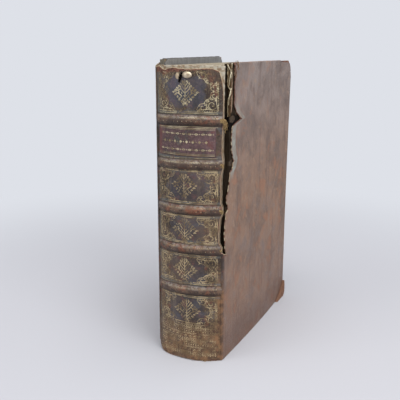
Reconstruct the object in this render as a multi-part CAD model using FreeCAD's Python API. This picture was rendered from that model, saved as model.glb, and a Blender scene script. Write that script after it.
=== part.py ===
"""Antique leather book: full calf over pasteboard, sewn on five raised cords, standing upright.

Millimetres, +Z up. The spine faces -Y, the front cover is at +X, the origin is under the middle.
The shapes are drawn about the closed book's own middle plane and moved to the origin at the end.
"""
import math
import os

import FreeCAD
import Part

V = FreeCAD.Vector

# whole book
front_height = 200.0  # front board, tail to head
rear_height = front_height + 2.4  # the rear board was cut a little taller
board_width = 129.0  # joint line to fore edge
closed_thickness = 48.6  # over both covers
rear_splay_deg = 6.3  # the rear cover stands a little open

# covers
cover_thickness = 3.9  # pasteboard with its leather
leather = 0.7  # cover leather
turn_in = 0.45  # leather pared thin where it is turned in
turn_in_width = 12.0
pastedown = 0.2
pastedown_margin = 6.0  # leather left showing round the pastedown
joint_gap = 3.5  # board set back from the joint line
edge_round = 0.8
corner_bump = 1.9  # lower front corner, layers spread outwards
hinge_y = 0.5

# text block
leaf_gap = 0.4  # between the leaves and a pastedown
leaf_tail = 3.2
leaf_head = front_height - 2.0
leaf_fore_edge = board_width - 4.0
spine_chord = closed_thickness - 5.0
spine_bulge = 6.0
spine_line = -1.0  # where the rounded back starts
fore_edge_hollow = 4.5

# spine
lining = 0.5
spine_leather = 1.0
spine_half = closed_thickness / 2 - 0.55
fit = 0.05
cord_radius = 1.4
band_places = (0.2515, 0.396, 0.53, 0.6795, 0.8215)  # of the front board's height
band_rise = 2.3
band_half_width = 3.3
label_thickness = 0.35

half = closed_thickness / 2
rise = front_height / 200.0  # the worn outlines below are drawn for a 200 mm board
band_heights = tuple(front_height * place for place in band_places)
inner_face = half - cover_thickness
leaf_half = inner_face - pastedown - leaf_gap
block_radius = ((spine_chord / 2) ** 2 + spine_bulge**2) / (2 * spine_bulge)
back_axis_y = spine_line - spine_bulge + block_radius
leather_inner = block_radius + lining + fit
leather_outer = leather_inner + spine_leather

move_x = board_width * math.sin(math.radians(rear_splay_deg)) / 2 - corner_bump / 2
move_y = -(board_width + back_axis_y - leather_outer - band_rise) / 2

parts = {}


def prism_xy(points, z0, z1):
    """Polygon in the XY plane, raised from z0 to z1."""
    wire = Part.makePolygon([V(x, y, z0) for x, y in points] + [V(points[0][0], points[0][1], z0)])
    return Part.Face(wire).extrude(V(0, 0, z1 - z0))


def prism_yz(points, x0, x1):
    """Polygon in the YZ plane, run from x0 to x1."""
    wire = Part.makePolygon([V(x0, y, z) for y, z in points] + [V(x0, points[0][0], points[0][1])])
    return Part.Face(wire).extrude(V(x1 - x0, 0, 0))


def prism_xz(points, y0, y1):
    """Polygon in the XZ plane, run from y0 to y1."""
    wire = Part.makePolygon([V(x, y0, z) for x, z in points] + [V(points[0][0], y0, points[0][1])])
    return Part.Face(wire).extrude(V(0, y1 - y0, 0))


def block(x0, x1, y0, y1, z0, z1):
    """Box between two corners."""
    return Part.makeBox(x1 - x0, y1 - y0, z1 - z0, V(x0, y0, z0))


def back_ring(r0, r1, x0, x1, z0, z1):
    """Piece of a curved sheet that lies round the back of the text block."""
    outer = Part.makeCylinder(r1, z1 - z0, V(0, back_axis_y, z0))
    inner = Part.makeCylinder(r0, z1 - z0 + 2, V(0, back_axis_y, z0 - 1))
    keep = block(x0, x1, back_axis_y - r1 - 1, 5, z0 - 1, z1 + 1)
    return outer.cut(inner).common(keep)


def up(points):
    """An outline drawn for a 200 mm board, for this board."""
    return [(a, b * rise) for a, b in points]


def from_side(points):
    """An outline with its X counted from the spine leather's side, for this thickness and height."""
    return [(spine_half + a, b * rise) for a, b in points]


def arc_radius(half_chord, rise):
    """Radius of the arc with this half chord and rise."""
    return (half_chord**2 + rise**2) / (2 * rise)


def solid_of(shape):
    """The largest solid in a shape, cleaned."""
    best = max(shape.Solids, key=lambda s: s.Volume)
    return best.removeSplitter()


# text block: leaves folded and sewn, back rounded, outer leaves bent over as shoulders
shoulder_x = spine_chord / 2 + 0.3
block_edges = [
    Part.Arc(V(-spine_chord / 2, spine_line, 0), V(0, spine_line - spine_bulge, 0), V(spine_chord / 2, spine_line, 0)).toShape(),
    Part.makeLine(V(spine_chord / 2, spine_line, 0), V(shoulder_x, spine_line + 0.9, 0)),
    Part.makeLine(V(shoulder_x, spine_line + 0.9, 0), V(leaf_half, 2.2, 0)),
    Part.makeLine(V(leaf_half, 2.2, 0), V(leaf_half, leaf_fore_edge, 0)),
    Part.Arc(V(leaf_half, leaf_fore_edge, 0), V(0, leaf_fore_edge - fore_edge_hollow, 0), V(-leaf_half, leaf_fore_edge, 0)).toShape(),
    Part.makeLine(V(-leaf_half, leaf_fore_edge, 0), V(-leaf_half, 2.2, 0)),
    Part.makeLine(V(-leaf_half, 2.2, 0), V(-shoulder_x, spine_line + 0.9, 0)),
    Part.makeLine(V(-shoulder_x, spine_line + 0.9, 0), V(-spine_chord / 2, spine_line, 0)),
]
text_block = Part.Face(Part.Wire(block_edges)).extrude(V(0, 0, leaf_head - leaf_tail))
text_block.translate(V(0, 0, leaf_tail))

# sewing cords: they ride on the back and sink towards the shoulders, where they leave for the boards
cord_half = half - 2.0
cord_sink_x = half - 4.0
cord_crown = back_axis_y - block_radius - cord_radius
cord_end_y = back_axis_y - math.sqrt(block_radius**2 - cord_sink_x**2) + 0.5
cord_path_radius = arc_radius(cord_sink_x, cord_end_y - cord_crown)
cord_axis_y = cord_crown + cord_path_radius


def cord_shape(z, radius):
    """Cord bent round the back at height z."""
    ring = Part.makeTorus(cord_path_radius, radius, V(0, cord_axis_y, z))
    keep = block(-cord_half, cord_half, cord_crown - 4, cord_end_y + 6, z - 4, z + 4)
    return solid_of(ring.common(keep))


cords = [cord_shape(z, cord_radius) for z in band_heights]
cord_room = [cord_shape(z, cord_radius + fit) for z in band_heights]
for cord in cord_room:
    text_block = text_block.cut(cord)

# the pin pushed into the spine under the head
tack_x = 1.9
tack_z = 192.7 * rise
tack_long = 3.4  # half its length, across the back
tack_short = 2.15  # half its height
tack_sunk = 0.4
tack_surface = back_axis_y - leather_outer
tack_shank = Part.makeCylinder(0.5, 5.0, V(tack_x, tack_surface - 0.2, tack_z), V(0, 1, 0))
tack_oval = Part.Arc(Part.Ellipse(V(0, 0, 0), tack_long, tack_short), 0, math.pi).toShape()
tack_base = Part.makeLine(V(-tack_long, 0, 0), V(tack_long, 0, 0))
tack_egg = Part.Face(Part.Wire([tack_oval, tack_base])).revolve(V(0, 0, 0), V(1, 0, 0), 360)
tack_egg.translate(V(tack_x, tack_surface + tack_sunk, tack_z))
tack_head = tack_egg.cut(block(-8, 10, tack_surface - 0.02, 10, tack_z - 6, tack_z + 6))
tack = solid_of(tack_head.fuse(tack_shank))
tack_hole = Part.makeCylinder(0.55, 5.1, V(tack_x, tack_surface - 0.1, tack_z), V(0, 1, 0))
text_block = solid_of(text_block.cut(tack_hole))

# paper linings glued to the back between the cords
lining_edges = []
lower = leaf_tail
for z in band_heights:
    lining_edges.append((lower, z - cord_radius - 0.6))
    lower = z + cord_radius + 0.6
lining_edges.append((lower, leaf_head - 0.4))
lining_half = half - 3.5
linings = [back_ring(block_radius, block_radius + lining, -lining_half, lining_half, a, b) for a, b in lining_edges]
head_tear = [
    (-half, 197.4), (-14, 197.8), (-9, 197.2), (-2, 197.7), (6, 197.1), (13, 197.6), (half, 196.6), (half, 199), (-half, 199),
]
linings[-1] = linings[-1].cut(prism_xz(up(head_tear), -20, 6)).cut(tack_hole)
linings = [solid_of(s) for s in linings]

# endband left at the tail; the one at the head is gone
endband_radius = 1.25
endband_path = block_radius - endband_radius - 0.4
endband = Part.makeTorus(endband_path, endband_radius, V(0, back_axis_y, leaf_tail - endband_radius - 0.05))
endband_half = half - 5.5
endband = endband.common(block(-endband_half, endband_half, -20, 4, 0.2, leaf_tail - 0.02))
parts["tail_endband"] = solid_of(endband)

# spine leather: shell over the back, raised over each cord, torn at head, right side and tail
shell = back_ring(leather_inner, leather_outer, -spine_half, spine_half, 0.4, front_height - 1.0)
crown_y = back_axis_y - leather_outer - band_rise
limb_y = back_axis_y - math.sqrt(leather_outer**2 - spine_half**2) - 0.35
band_radius = arc_radius(spine_half, limb_y - crown_y)
band_axis_y = crown_y + band_radius


def band_shape(z):
    """Raised band at height z, with a rounded crown and hollow feet."""
    w = band_half_width
    r = band_radius
    low = r - band_rise - 1.2

    def p(radius, dz):
        return V(radius, 0, z + dz)

    edges = [
        Part.makeLine(p(low, -w), p(r - band_rise - 0.02, -w)),
        Part.Arc(p(r - band_rise - 0.02, -w), p(r - band_rise + 0.25, -w * 0.82), p(r - band_rise * 0.55, -w * 0.7)).toShape(),
        Part.Arc(p(r - band_rise * 0.55, -w * 0.7), p(r, 0), p(r - band_rise * 0.55, w * 0.7)).toShape(),
        Part.Arc(p(r - band_rise * 0.55, w * 0.7), p(r - band_rise + 0.25, w * 0.82), p(r - band_rise - 0.02, w)).toShape(),
        Part.makeLine(p(r - band_rise - 0.02, w), p(low, w)),
        Part.makeLine(p(low, w), p(low, -w)),
    ]
    ring = Part.Face(Part.Wire(edges)).revolve(V(0, 0, 0), V(0, 0, 1), 360)
    ring.translate(V(0, band_axis_y, 0))
    keep = block(-spine_half, spine_half, crown_y - 1, 4, z - w - 1, z + w + 1)
    return ring.common(keep)


for z in band_heights:
    shell = shell.fuse(band_shape(z))
inside = Part.makeCylinder(leather_inner, front_height + 10, V(0, back_axis_y, -5))
shell = shell.cut(inside)
for cord in cord_room:
    shell = shell.cut(cord)

# X of these outlines is counted from the leather's right side, so the left side is at -2 * spine_half
left = -2 * spine_half
head_loss = [
    (left - 2, 197.9), (left + 5.5, 197.3), (left + 8, 195.9), (left + 10.2, 195.3), (left + 14, 196.4), (left + 17.5, 196.8),
    (-27.8, 196.2), (-20.7, 195.9), (-13.8, 196.1), (-10.4, 196.4), (-5.6, 196.2), (-3.6, 195.2), (-1.8, 194.0), (-0.4, 191.5),
    (2, 190), (2, 202), (left - 2, 202),
]
side_loss = [
    (-0.05, 196), (-0.15, 190), (-0.03, 178), (-0.15, 168), (-0.01, 159), (-0.35, 151), (-0.55, 143), (-0.05, 138.5),
    (-0.05, 133), (-0.95, 129.5), (-1.25, 123), (-0.85, 116), (-0.95, 111), (-0.1, 108.5), (-0.1, 103.5),
    (-1.15, 101), (-1.55, 95), (-1.85, 89), (-1.85, 84), (-0.25, 81.5), (-0.05, 79.2), (1, 78.6), (2, 78.6), (2, 196),
]
tail_loss = [
    (left - 2, 24), (left + 0.15, 22), (left + 0.85, 15), (left + 1.85, 9.5), (left + 3.95, 6.2), (left + 6.95, 4.0),
    (left + 10.95, 2.2), (left + 16.5, 1.3), (-22.4, 1.6), (-15.4, 1.1), (-12.4, 0.9), (-9.4, 0.3), (-9.4, -2), (left - 2, -2),
]
for loss in (head_loss, side_loss, tail_loss):
    shell = shell.cut(prism_xz(from_side(loss), -24, 6))
slit = [(-5.0, 188.9), (-4.4, 190.8), (-3.3, 192.8), (-2.3, 193.9), (-2.2, 192.8), (-3.0, 190.8), (-4.0, 189.0)]
shell = shell.cut(prism_xz(up(slit), -24, -3))
shell = shell.cut(tack_hole)
parts["spine_leather"] = solid_of(shell)

# title label: a thin skiver piece glued in the second panel
label_gap = band_half_width + 0.4
label_foot_gap = label_gap + 2.0
label = back_ring(
    leather_outer, leather_outer + label_thickness, 3.4 - half, half - 4.6,
    band_heights[3] + label_foot_gap, band_heights[4] - label_gap,
)
parts["title_label"] = solid_of(label)

# covers. Both are drawn on the +X side; the rear one is mirrored and swung open
front_spine_edge = up([
    (joint_gap, 0), (joint_gap, 84), (4.2, 100), (5.4, 116), (7.6, 131), (8.2, 150), (7.4, 158), (5.8, 168), (5.2, 185), (5.6, 200.5),
])
front_tear = up([
    (joint_gap, 77.0), (2.4, 79.5), (1.6, 83), (0.9, 87), (0.9, 93), (1.2, 97.5), (2.3, 103), (5.8, 104.9), (5.3, 107.8),
    (3.0, 111.6), (5.2, 115.8), (7.4, 122.3), (9.0, 129.6), (11.8, 130.7), (14.6, 136.4), (11.4, 143.0),
    (10.4, 147.7), (10.8, 153.6), (11.9, 159.0), (20.5, 161.2), (27.3, 162.8), (18.8, 167.7), (14.3, 173.2),
    (15.0, 179.0), (15.2, 190.0), (14.4, 198.1), (14.9, 201),
])
slip_length = 15.0
slip_width = 5.0
slip_depth = 0.8


def make_cover(height, spine_edge, leather_edge, slips):
    """Board, leather, pastedown and the cord ends laced into the board."""
    fore = board_width
    outline = list(spine_edge)
    board_outline = [
        (outline[0][0], leather), *[(y, z) for y, z in outline[1:-1]], (outline[-1][0], height - leather),
        (fore - leather, height - leather), (fore - leather, leather),
    ]
    board = prism_yz(board_outline, inner_face, half - leather)
    window = [
        (-1, turn_in_width), (-1, height - turn_in_width),
        (fore - turn_in_width, height - turn_in_width), (fore - turn_in_width, turn_in_width),
    ]
    rim = block(inner_face - 1, inner_face + turn_in, -1, fore + 1, -1, height + 1)
    rim = rim.cut(prism_yz(window, inner_face - 2, inner_face + turn_in + 1))
    board = board.cut(rim)

    edge = list(leather_edge)
    skin = block(inner_face, half, 0, fore, 0, height)
    long_edges = [
        e for e in skin.Edges
        if abs(e.CenterOfMass.x - half) < 1e-6 and e.CenterOfMass.y > 1
    ]
    skin = skin.makeFillet(edge_round, long_edges)
    keep = [(edge[0][0], -1), *edge, (fore + 1, height + 1), (fore + 1, -1)]
    skin = skin.common(prism_yz(keep, inner_face - 1, half + 1))
    hollow = [
        (-2, leather), (-2, height - leather), (fore - leather, height - leather), (fore - leather, leather),
    ]
    skin = skin.cut(prism_yz(hollow, inner_face + turn_in, half - leather))
    skin = skin.cut(prism_yz(window, inner_face - 1, half - leather))

    channels = []
    slip_solids = []
    for z, length in slips:
        start = 3.7
        for y, edge_z in zip(*[[q[i] for q in spine_edge] for i in (0, 1)]):
            if edge_z <= z:
                start = max(start, y + 0.2)
        end = start + length
        x1 = half - leather - fit
        x0 = x1 - slip_depth
        w = slip_width / 2
        shape = [
            (start, z - w * 0.55), (end - 3, z - w), (end, z - w * 0.5), (end + 0.6, z),
            (end - 0.2, z + w * 0.6), (end - 3, z + w), (start, z + w * 0.55),
        ]
        slip_solids.append(prism_yz(shape, x0, x1))
        room = [(y - (1 if i in (0, 6) else -fit), v + (fit if v > z else -fit)) for i, (y, v) in enumerate(shape)]
        channels.append(prism_yz(room, x0 - fit, half - leather + 1))
    for channel in channels:
        board = board.cut(channel)

    m = pastedown_margin
    sheet = prism_yz(
        [(joint_gap + 6.0, m), (joint_gap + 6.0, height - m), (fore - m, height - m), (fore - m, m)],
        inner_face - pastedown, inner_face,
    )
    return solid_of(board), solid_of(skin), solid_of(sheet), [solid_of(s) for s in slip_solids]


front_slips = [(z, slip_length if i == 0 else slip_length - 3.0 - i) for i, z in enumerate(band_heights)]
rear_slips = [(z, slip_length) for z in band_heights]
rear_spine_edge = [(joint_gap, 0), (joint_gap, 100), (joint_gap, rear_height)]
rear_edge = [(joint_gap, 0), (joint_gap, 100), (joint_gap, rear_height + 1)]

front_board, front_skin, front_sheet, front_slip_solids = make_cover(front_height, front_spine_edge, front_tear, front_slips)
rear_board, rear_skin, rear_sheet, rear_slip_solids = make_cover(rear_height, rear_spine_edge, rear_edge, rear_slips)

# front board: corners worn; the lower one is bumped, its layers spread outwards
upper_corner = [
    (board_width - 4.5, front_height + 0.5), (board_width - 1.8, front_height - 1.4), (board_width - 0.2, front_height - 4.5),
    (board_width + 1, front_height - 8), (board_width + 1, front_height + 1),
]
front_board = solid_of(front_board.cut(prism_yz(upper_corner, inner_face - 1, half + 1)))
worn_head = [
    (board_width - 24.0, front_height + 0.5), (board_width - 22.5, front_height - 0.6), (board_width - 16.0, front_height - 1.1),
    (board_width - 8.0, front_height - 1.8), (board_width - 4.5, front_height - 3.2), (board_width - 2.4, front_height - 6.6),
    (board_width - 1.4, front_height - 11.0), (board_width - 0.3, front_height - 14.0), (board_width + 1, front_height - 14.5),
    (board_width + 1, front_height + 1),
]
front_skin = front_skin.cut(prism_yz(worn_head, inner_face - 1, half + 1))
worn_tail = [
    (board_width + 1, 14.5), (board_width - 0.6, 13.5), (board_width - 3.0, 9.6), (board_width - 8.0, 4.8),
    (board_width - 15.0, 1.9), (board_width - 20.0, 0.5), (board_width - 21.0, -1), (board_width + 1, -1),
]
front_skin = solid_of(front_skin.cut(prism_yz(worn_tail, inner_face - 1, half + 1)))
bump_profile = [
    (board_width - 19.0, 0.05), (board_width - 14.0, 2.1), (board_width - 7.4, 5.2), (board_width - 2.8, 9.9), (board_width - 0.9, 13.2),
    (board_width, 9.0), (board_width, 3.4), (board_width - 1.4, 1.2), (board_width - 4.0, 0.05),
]
layers = 4
spread = (half - leather + corner_bump - inner_face) / layers
for i in range(layers):
    inset = 0.35 * (i % 2)
    layer_profile = [(y - inset * 0.8, z + inset * (1 if z > 0.1 else 0)) for y, z in bump_profile]
    top = inner_face + spread * (i + 1)
    front_board = front_board.fuse(prism_yz(layer_profile, inner_face + spread * i, top + leather * (i == layers - 1)))
front_board = solid_of(front_board)
front_skin = solid_of(front_skin.cut(front_board))

# rear cover leather is rubbed through at its own corners
rear_corner = [(board_width - 5.0, rear_height + 1), (board_width - 2.2, rear_height - 1.6), (board_width - 0.6, rear_height - 4.6), (board_width + 1, rear_height - 6), (board_width + 1, rear_height + 1)]
rear_skin = solid_of(rear_skin.cut(prism_yz(rear_corner, inner_face - 1, half + 1)))
rear_board_corner = [(board_width - 4.0, rear_height + 1), (board_width - 2.0, rear_height - 1.9), (board_width - 0.9, rear_height - 4.0), (board_width + 1, rear_height - 5), (board_width + 1, rear_height + 1)]
rear_board = solid_of(rear_board.cut(prism_yz(rear_board_corner, inner_face - 1, half + 1)))


def to_rear(shape):
    """Mirror a front-side shape and swing it open about the rear hinge line."""
    other = shape.mirror(V(0, 0, 0), V(1, 0, 0))
    other.rotate(V(-half, hinge_y, 0), V(0, 0, 1), rear_splay_deg)
    return other


# leather of the two joints, between the spine and each board
joint_profile = [
    (spine_half, limb_y + 0.35), (half - 0.15, -0.9), (half, 0.4), (half, joint_gap - 0.35), (half - leather, joint_gap - 0.35),
    (half - leather, 0.6), (spine_half, back_axis_y - math.sqrt(leather_inner**2 - spine_half**2)),
]
front_joint = prism_xy(joint_profile, 0.3, 80 * rise)
front_joint_tear = [(-3, 77.4), (-1.6, 78.0), (0.2, 76.4), (1.6, 76.6), (3.15, 75.2), (4.2, 75), (4.2, 82), (-3, 82)]
front_joint = solid_of(front_joint.cut(prism_yz(up(front_joint_tear), half - 5, half + 5)))
rear_profile = [(-x, y) for x, y in joint_profile]
rear_profile[3] = (-half - 0.33, joint_gap - 0.35)
rear_profile[4] = (-half - 0.33 + leather, joint_gap - 0.35)
rear_joint = prism_xy(rear_profile, 5.5, rear_height - 2.0)
rear_joint_tear = [
    (-3, 197.2), (-1.7, 197.6), (-0.6, 198.3), (0.4, 198.0), (1.2, 199.0), (2.1, 198.7), (2.8, 199.6), (4.2, 199.4), (4.2, 204), (-3, 204),
]
rear_joint = solid_of(rear_joint.cut(prism_yz(up(rear_joint_tear), -half - 5, 5 - half)))

parts["text_block"] = text_block
for i, cord in enumerate(reversed(cords)):
    parts[f"sewing_cord_{i + 1}"] = cord
for i, sheet in enumerate(reversed(linings)):
    parts[f"spine_lining_{i + 1}"] = sheet
parts["head_tack"] = tack
parts["front_board"] = front_board
parts["front_cover_leather"] = front_skin
parts["front_pastedown"] = front_sheet
parts["rear_board"] = to_rear(rear_board)
parts["rear_cover_leather"] = to_rear(rear_skin)
parts["rear_pastedown"] = to_rear(rear_sheet)
for i, slip in enumerate(reversed(front_slip_solids)):
    parts[f"front_slip_{i + 1}"] = slip
for i, slip in enumerate(reversed(rear_slip_solids)):
    parts[f"rear_slip_{i + 1}"] = to_rear(slip)
parts["front_joint_leather"] = front_joint
parts["rear_joint_leather"] = rear_joint

os.makedirs("parts", exist_ok=True)
for name in sorted(parts):
    shape = parts[name]
    shape.translate(V(move_x, move_y, 0))
    shape.exportStep(f"parts/{name}.step")
    box = shape.optimalBoundingBox()
    print(
        f"{name:22s} solids {len(shape.Solids)} valid {shape.isValid()} volume {shape.Volume:10.1f} "
        f"x {box.XMin:7.2f} {box.XMax:7.2f} y {box.YMin:7.2f} {box.YMax:7.2f} z {box.ZMin:7.2f} {box.ZMax:7.2f}"
    )
print("hinges", round(half + move_x, 3), round(-half + move_x, 3), round(hinge_y + move_y, 3))
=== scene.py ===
import math
import random

import bmesh
import bpy
from mathutils import Matrix, Vector, noise


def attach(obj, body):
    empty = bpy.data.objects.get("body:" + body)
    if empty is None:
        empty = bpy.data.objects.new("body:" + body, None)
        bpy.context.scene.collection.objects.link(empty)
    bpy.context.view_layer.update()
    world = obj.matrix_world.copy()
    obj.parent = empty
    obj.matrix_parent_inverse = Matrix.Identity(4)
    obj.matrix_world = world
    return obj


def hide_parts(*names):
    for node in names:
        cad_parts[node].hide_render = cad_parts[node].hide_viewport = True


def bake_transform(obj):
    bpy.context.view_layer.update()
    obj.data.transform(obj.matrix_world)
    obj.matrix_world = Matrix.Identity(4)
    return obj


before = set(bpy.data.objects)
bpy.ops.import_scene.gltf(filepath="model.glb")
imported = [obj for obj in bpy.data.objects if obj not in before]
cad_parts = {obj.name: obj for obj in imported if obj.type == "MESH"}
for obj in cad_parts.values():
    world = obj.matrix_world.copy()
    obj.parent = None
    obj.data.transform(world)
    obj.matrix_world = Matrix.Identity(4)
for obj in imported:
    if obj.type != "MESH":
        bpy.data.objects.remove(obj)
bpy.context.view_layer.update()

# Text block: some five hundred rag-paper leaves folded in sections and sewn at the back.
# Its three cut edges show the leaves as fine uneven lines, with dusty patches.
# The outer leaves are bent over at the back to make the shoulders that the boards lie against.
mm = 0.001
middle_x = 6.128  # the book's own middle plane and joint line, in the part's frame, millimetres
joint_y = -59.075
leaf_half = 19.8
leaf_tail = 3.2
leaf_head = 198.0
leaf_fore_edge = 125.0
fore_edge_hollow = 4.5
back_radius = 42.6
back_axis = 35.6
bundles = 104


def place(x, y, z):
    """A point given in millimetres from the book's middle plane and joint line."""
    return Vector((x + middle_x, y + joint_y, z)) * mm


def new_sheet(across, up, size=0.5):
    """A flat grid of faces that reaches its size to each side of the middle."""
    bm = bmesh.new()
    bmesh.ops.create_grid(bm, x_segments=across, y_segments=up, size=size)
    return bm


def new_object(name, data):
    """An object in the scene for a mesh, a curve, a lamp or a camera."""
    obj = bpy.data.objects.new(name, data)
    bpy.context.scene.collection.objects.link(obj)
    return obj


def new_piece(name, bm, material, smooth=True):
    """Makes the finished bmesh an object of that name with one material."""
    mesh = bpy.data.meshes.new(name)
    bm.to_mesh(mesh)
    bm.free()
    mesh.materials.append(material)
    for face in mesh.polygons:
        face.use_smooth = smooth
    return new_object(name, mesh)


def srgb(r, g, b):
    """A colour as a picture shows it, 0 to 255, in the shader's linear numbers."""
    def one(c):
        c = c / 255
        return c / 12.92 if c <= 0.04045 else ((c + 0.055) / 1.055) ** 2.4
    return (one(r), one(g), one(b), 1.0)


def new_material(name):
    """A material with an empty tree apart from its shader; returns material, tree and shader."""
    material = bpy.data.materials.new(name)
    material.use_nodes = True
    tree = material.node_tree
    shader = tree.nodes["Principled BSDF"]
    return material, tree, shader


def put(owner, kind, inputs, **props):
    """Adds a node to a tree, or to the tree that a socket is in. Its inputs go by name or number."""
    tree = owner.id_data
    made = tree.nodes.new(kind)
    for key, value in props.items():
        setattr(made, key, value)
    for key, value in inputs.items():
        socket = made.inputs[key]
        if isinstance(value, bpy.types.NodeSocket):
            tree.links.new(value, socket)
        else:
            socket.default_value = value
    return made


def position(tree, scale=(1, 1, 1)):
    """Object coordinates, stretched."""
    spot = tree.nodes.new("ShaderNodeTexCoord")
    return put(tree, "ShaderNodeMapping", {"Vector": spot.outputs["Object"], "Scale": scale}).outputs[0]


def apart(vector):
    """The three numbers of a vector, each a socket."""
    return put(vector, "ShaderNodeSeparateXYZ", {0: vector}).outputs


def clouds(vector, scale, detail=4.0, rough=0.55, twist=0.0):
    """Noise from 0 to 1."""
    inputs = {"Vector": vector, "Scale": scale, "Detail": detail, "Roughness": rough, "Distortion": twist}
    return put(vector, "ShaderNodeTexNoise", inputs).outputs[0]


def stripes(vector, direction, scale, distortion, detail=2.0, detail_scale=1.0):
    """Waves from 0 to 1 that run along one direction."""
    inputs = {"Vector": vector, "Scale": scale, "Distortion": distortion, "Detail": detail}
    inputs["Detail Scale"] = detail_scale
    return put(vector, "ShaderNodeTexWave", inputs, bands_direction=direction).outputs[1]


def between(value, low, high, to_low=0.0, to_high=1.0):
    """Stretches the part of a value between low and high, and stops at both ends."""
    inputs = {"Value": value, "From Min": low, "From Max": high, "To Min": to_low, "To Max": to_high}
    return put(value, "ShaderNodeMapRange", inputs, interpolation_type="SMOOTHSTEP").outputs[0]


def sums(how, a, b):
    """Adds, multiplies or otherwise joins two numbers, the first of them a socket."""
    return put(a, "ShaderNodeMath", {0: a, 1: b}, operation=how).outputs[0]


def times(first, *others):
    """Multiplies numbers, the first of them a socket."""
    for other in others:
        first = sums("MULTIPLY", first, other)
    return first


def uneven(value, noise_value, share):
    """A value made ragged by a share of a noise round its middle."""
    return sums("ADD", value, times(sums("SUBTRACT", noise_value, 0.5), share))


def mix(amount, first, second):
    """Mixes two colours; each is a socket or a colour as a picture shows it."""
    first, second = [srgb(*c) if isinstance(c, tuple) else c for c in (first, second)]
    return put(amount, "ShaderNodeMix", {0: amount, 6: first, 7: second}, data_type="RGBA").outputs[2]


def washed(colour, washes):
    """Lays washes over a colour: each is a noise, its range, how strong it is at both ends, and a colour."""
    for value, low, high, to_low, to_high, tone in washes:
        colour = mix(between(value, low, high, to_low, to_high), colour, tone)
    return colour


def coat(shader, colour, rough, specular=0.5):
    """Joins a colour to a shader and sets how rough and how bright its surface is."""
    colour.id_data.links.new(colour, shader.inputs["Base Color"])
    shader.inputs["Roughness"].default_value = rough
    shader.inputs["Specular IOR Level"].default_value = specular


def relief(shader, height, depth, strength=1.0):
    """Gives a shader a bump from a height; depth is in metres."""
    bump = put(height, "ShaderNodeBump", {"Height": height, "Distance": depth, "Strength": strength})
    height.id_data.links.new(bump.outputs[0], shader.inputs["Normal"])


def dress(names, material):
    """Gives the parts of those names, as they come from the frame, a material."""
    for name in names:
        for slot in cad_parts[name].material_slots:
            slot.material = material


def thicken(obj, thickness, offset=-1.0):
    """Gives a sheet a thickness in millimetres, inwards unless offset says otherwise."""
    thick = obj.modifiers.new("thickness", "SOLIDIFY")
    thick.thickness = thickness * mm
    thick.offset = offset


def region(places, *limits):
    """A mask from limits: each is an axis, where the mask starts and stops changing, and its values there."""
    return times(*[between(places[axis], *limit) for axis, *limit in limits])


def add_box(bm, low, high):
    """A box between two corners."""
    size = [b - a for a, b in zip(low, high)]
    middle = [(a + b) / 2 for a, b in zip(low, high)]
    bmesh.ops.create_cube(bm, size=1, matrix=Matrix.Translation(middle) @ Matrix.Diagonal((*size, 1)))


def slice_at(bm, axis, spot, dist=0.0):
    """Cuts every face along a plane across an axis."""
    normal = Vector((0, 0, 0))
    normal[axis] = 1
    everything = bm.verts[:] + bm.edges[:] + bm.faces[:]
    bmesh.ops.bisect_plane(bm, geom=everything, plane_co=normal * spot, plane_no=normal, dist=dist)


def clamp(*amounts):
    """The least of some amounts, kept from 0 to 1."""
    return max(0.0, min(1.0, *amounts))


leaves_material, tree, shader = new_material("rag_paper_edges")
stack = position(tree, (1, 0.012, 0.012))
flat = position(tree)
lines = clouds(stack, 2600, 3.0, 0.7)
sections = clouds(stack, 420, 2.0, 0.5)
dust = clouds(flat, 60, 5.0, 0.6)
paper = mix(between(lines, 0.35, 0.7), (150, 138, 118), (206, 196, 176))
paper = washed(paper, [
    (sections, 0.55, 0.72, 0.0, 0.5, (120, 104, 84)),
    (dust, 0.5, 0.8, 0.0, 0.45, (128, 112, 92)),
])
sides = apart(flat)
# Painted shade: the outer leaves at the front shoulder, behind the torn joint, are made near black for the
# shade in the deep gap between back and front board.
painted_gap_shade = region(sides, (0, 0.0215, 0.0245), (1, -0.0560, -0.0440, 1.0, 0.0))
from_middle = sums("ABSOLUTE", sums("SUBTRACT", sides[0], middle_x * mm), 0.0)
outer_leaf = between(from_middle, (leaf_half - 0.08) * mm, (leaf_half - 0.04) * mm)
soft_stain = mix(between(dust, 0.35, 0.75), (190, 180, 158), (170, 156, 130))
paper = mix(times(outer_leaf, 0.92), paper, soft_stain)
paper = mix(times(painted_gap_shade, 0.95), paper, (34, 27, 20))
coat(shader, paper, 0.9, 0.15)
relief(shader, lines, 0.00012)

random.seed(7)
bm = bmesh.new()
for i in range(bundles):
    left = -leaf_half + 2 * leaf_half * i / bundles
    right = -leaf_half + 2 * leaf_half * (i + 1) / bundles
    x = (left + right) / 2
    back = back_axis - math.sqrt(back_radius**2 - (x * 1.09) ** 2) + random.uniform(0.0, 0.12)
    fore = leaf_fore_edge - fore_edge_hollow * (1 - (x / leaf_half) ** 2) - random.uniform(0.0, 0.3)
    low = leaf_tail + random.uniform(0.0, 0.16)
    high = leaf_head - random.uniform(0.0, 0.2)
    add_box(bm, (left, back, low), (right, fore, high))
for cut in (2.6, 1.8, 1.0, 0.2, -0.8):
    slice_at(bm, 1, cut)
for vert in bm.verts:
    bend = clamp((2.6 - vert.co.y) / 2.8)
    outside = max(0.0, abs(vert.co.x) - 12.3) / 7.5
    vert.co.x += math.copysign(2.2 * outside**2 * bend**1.5, vert.co.x)
    vert.co = place(*vert.co)
text_block = new_piece("leaves", bm, leaves_material, smooth=False)
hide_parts("text_block")
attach(text_block, "book_block")

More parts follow.
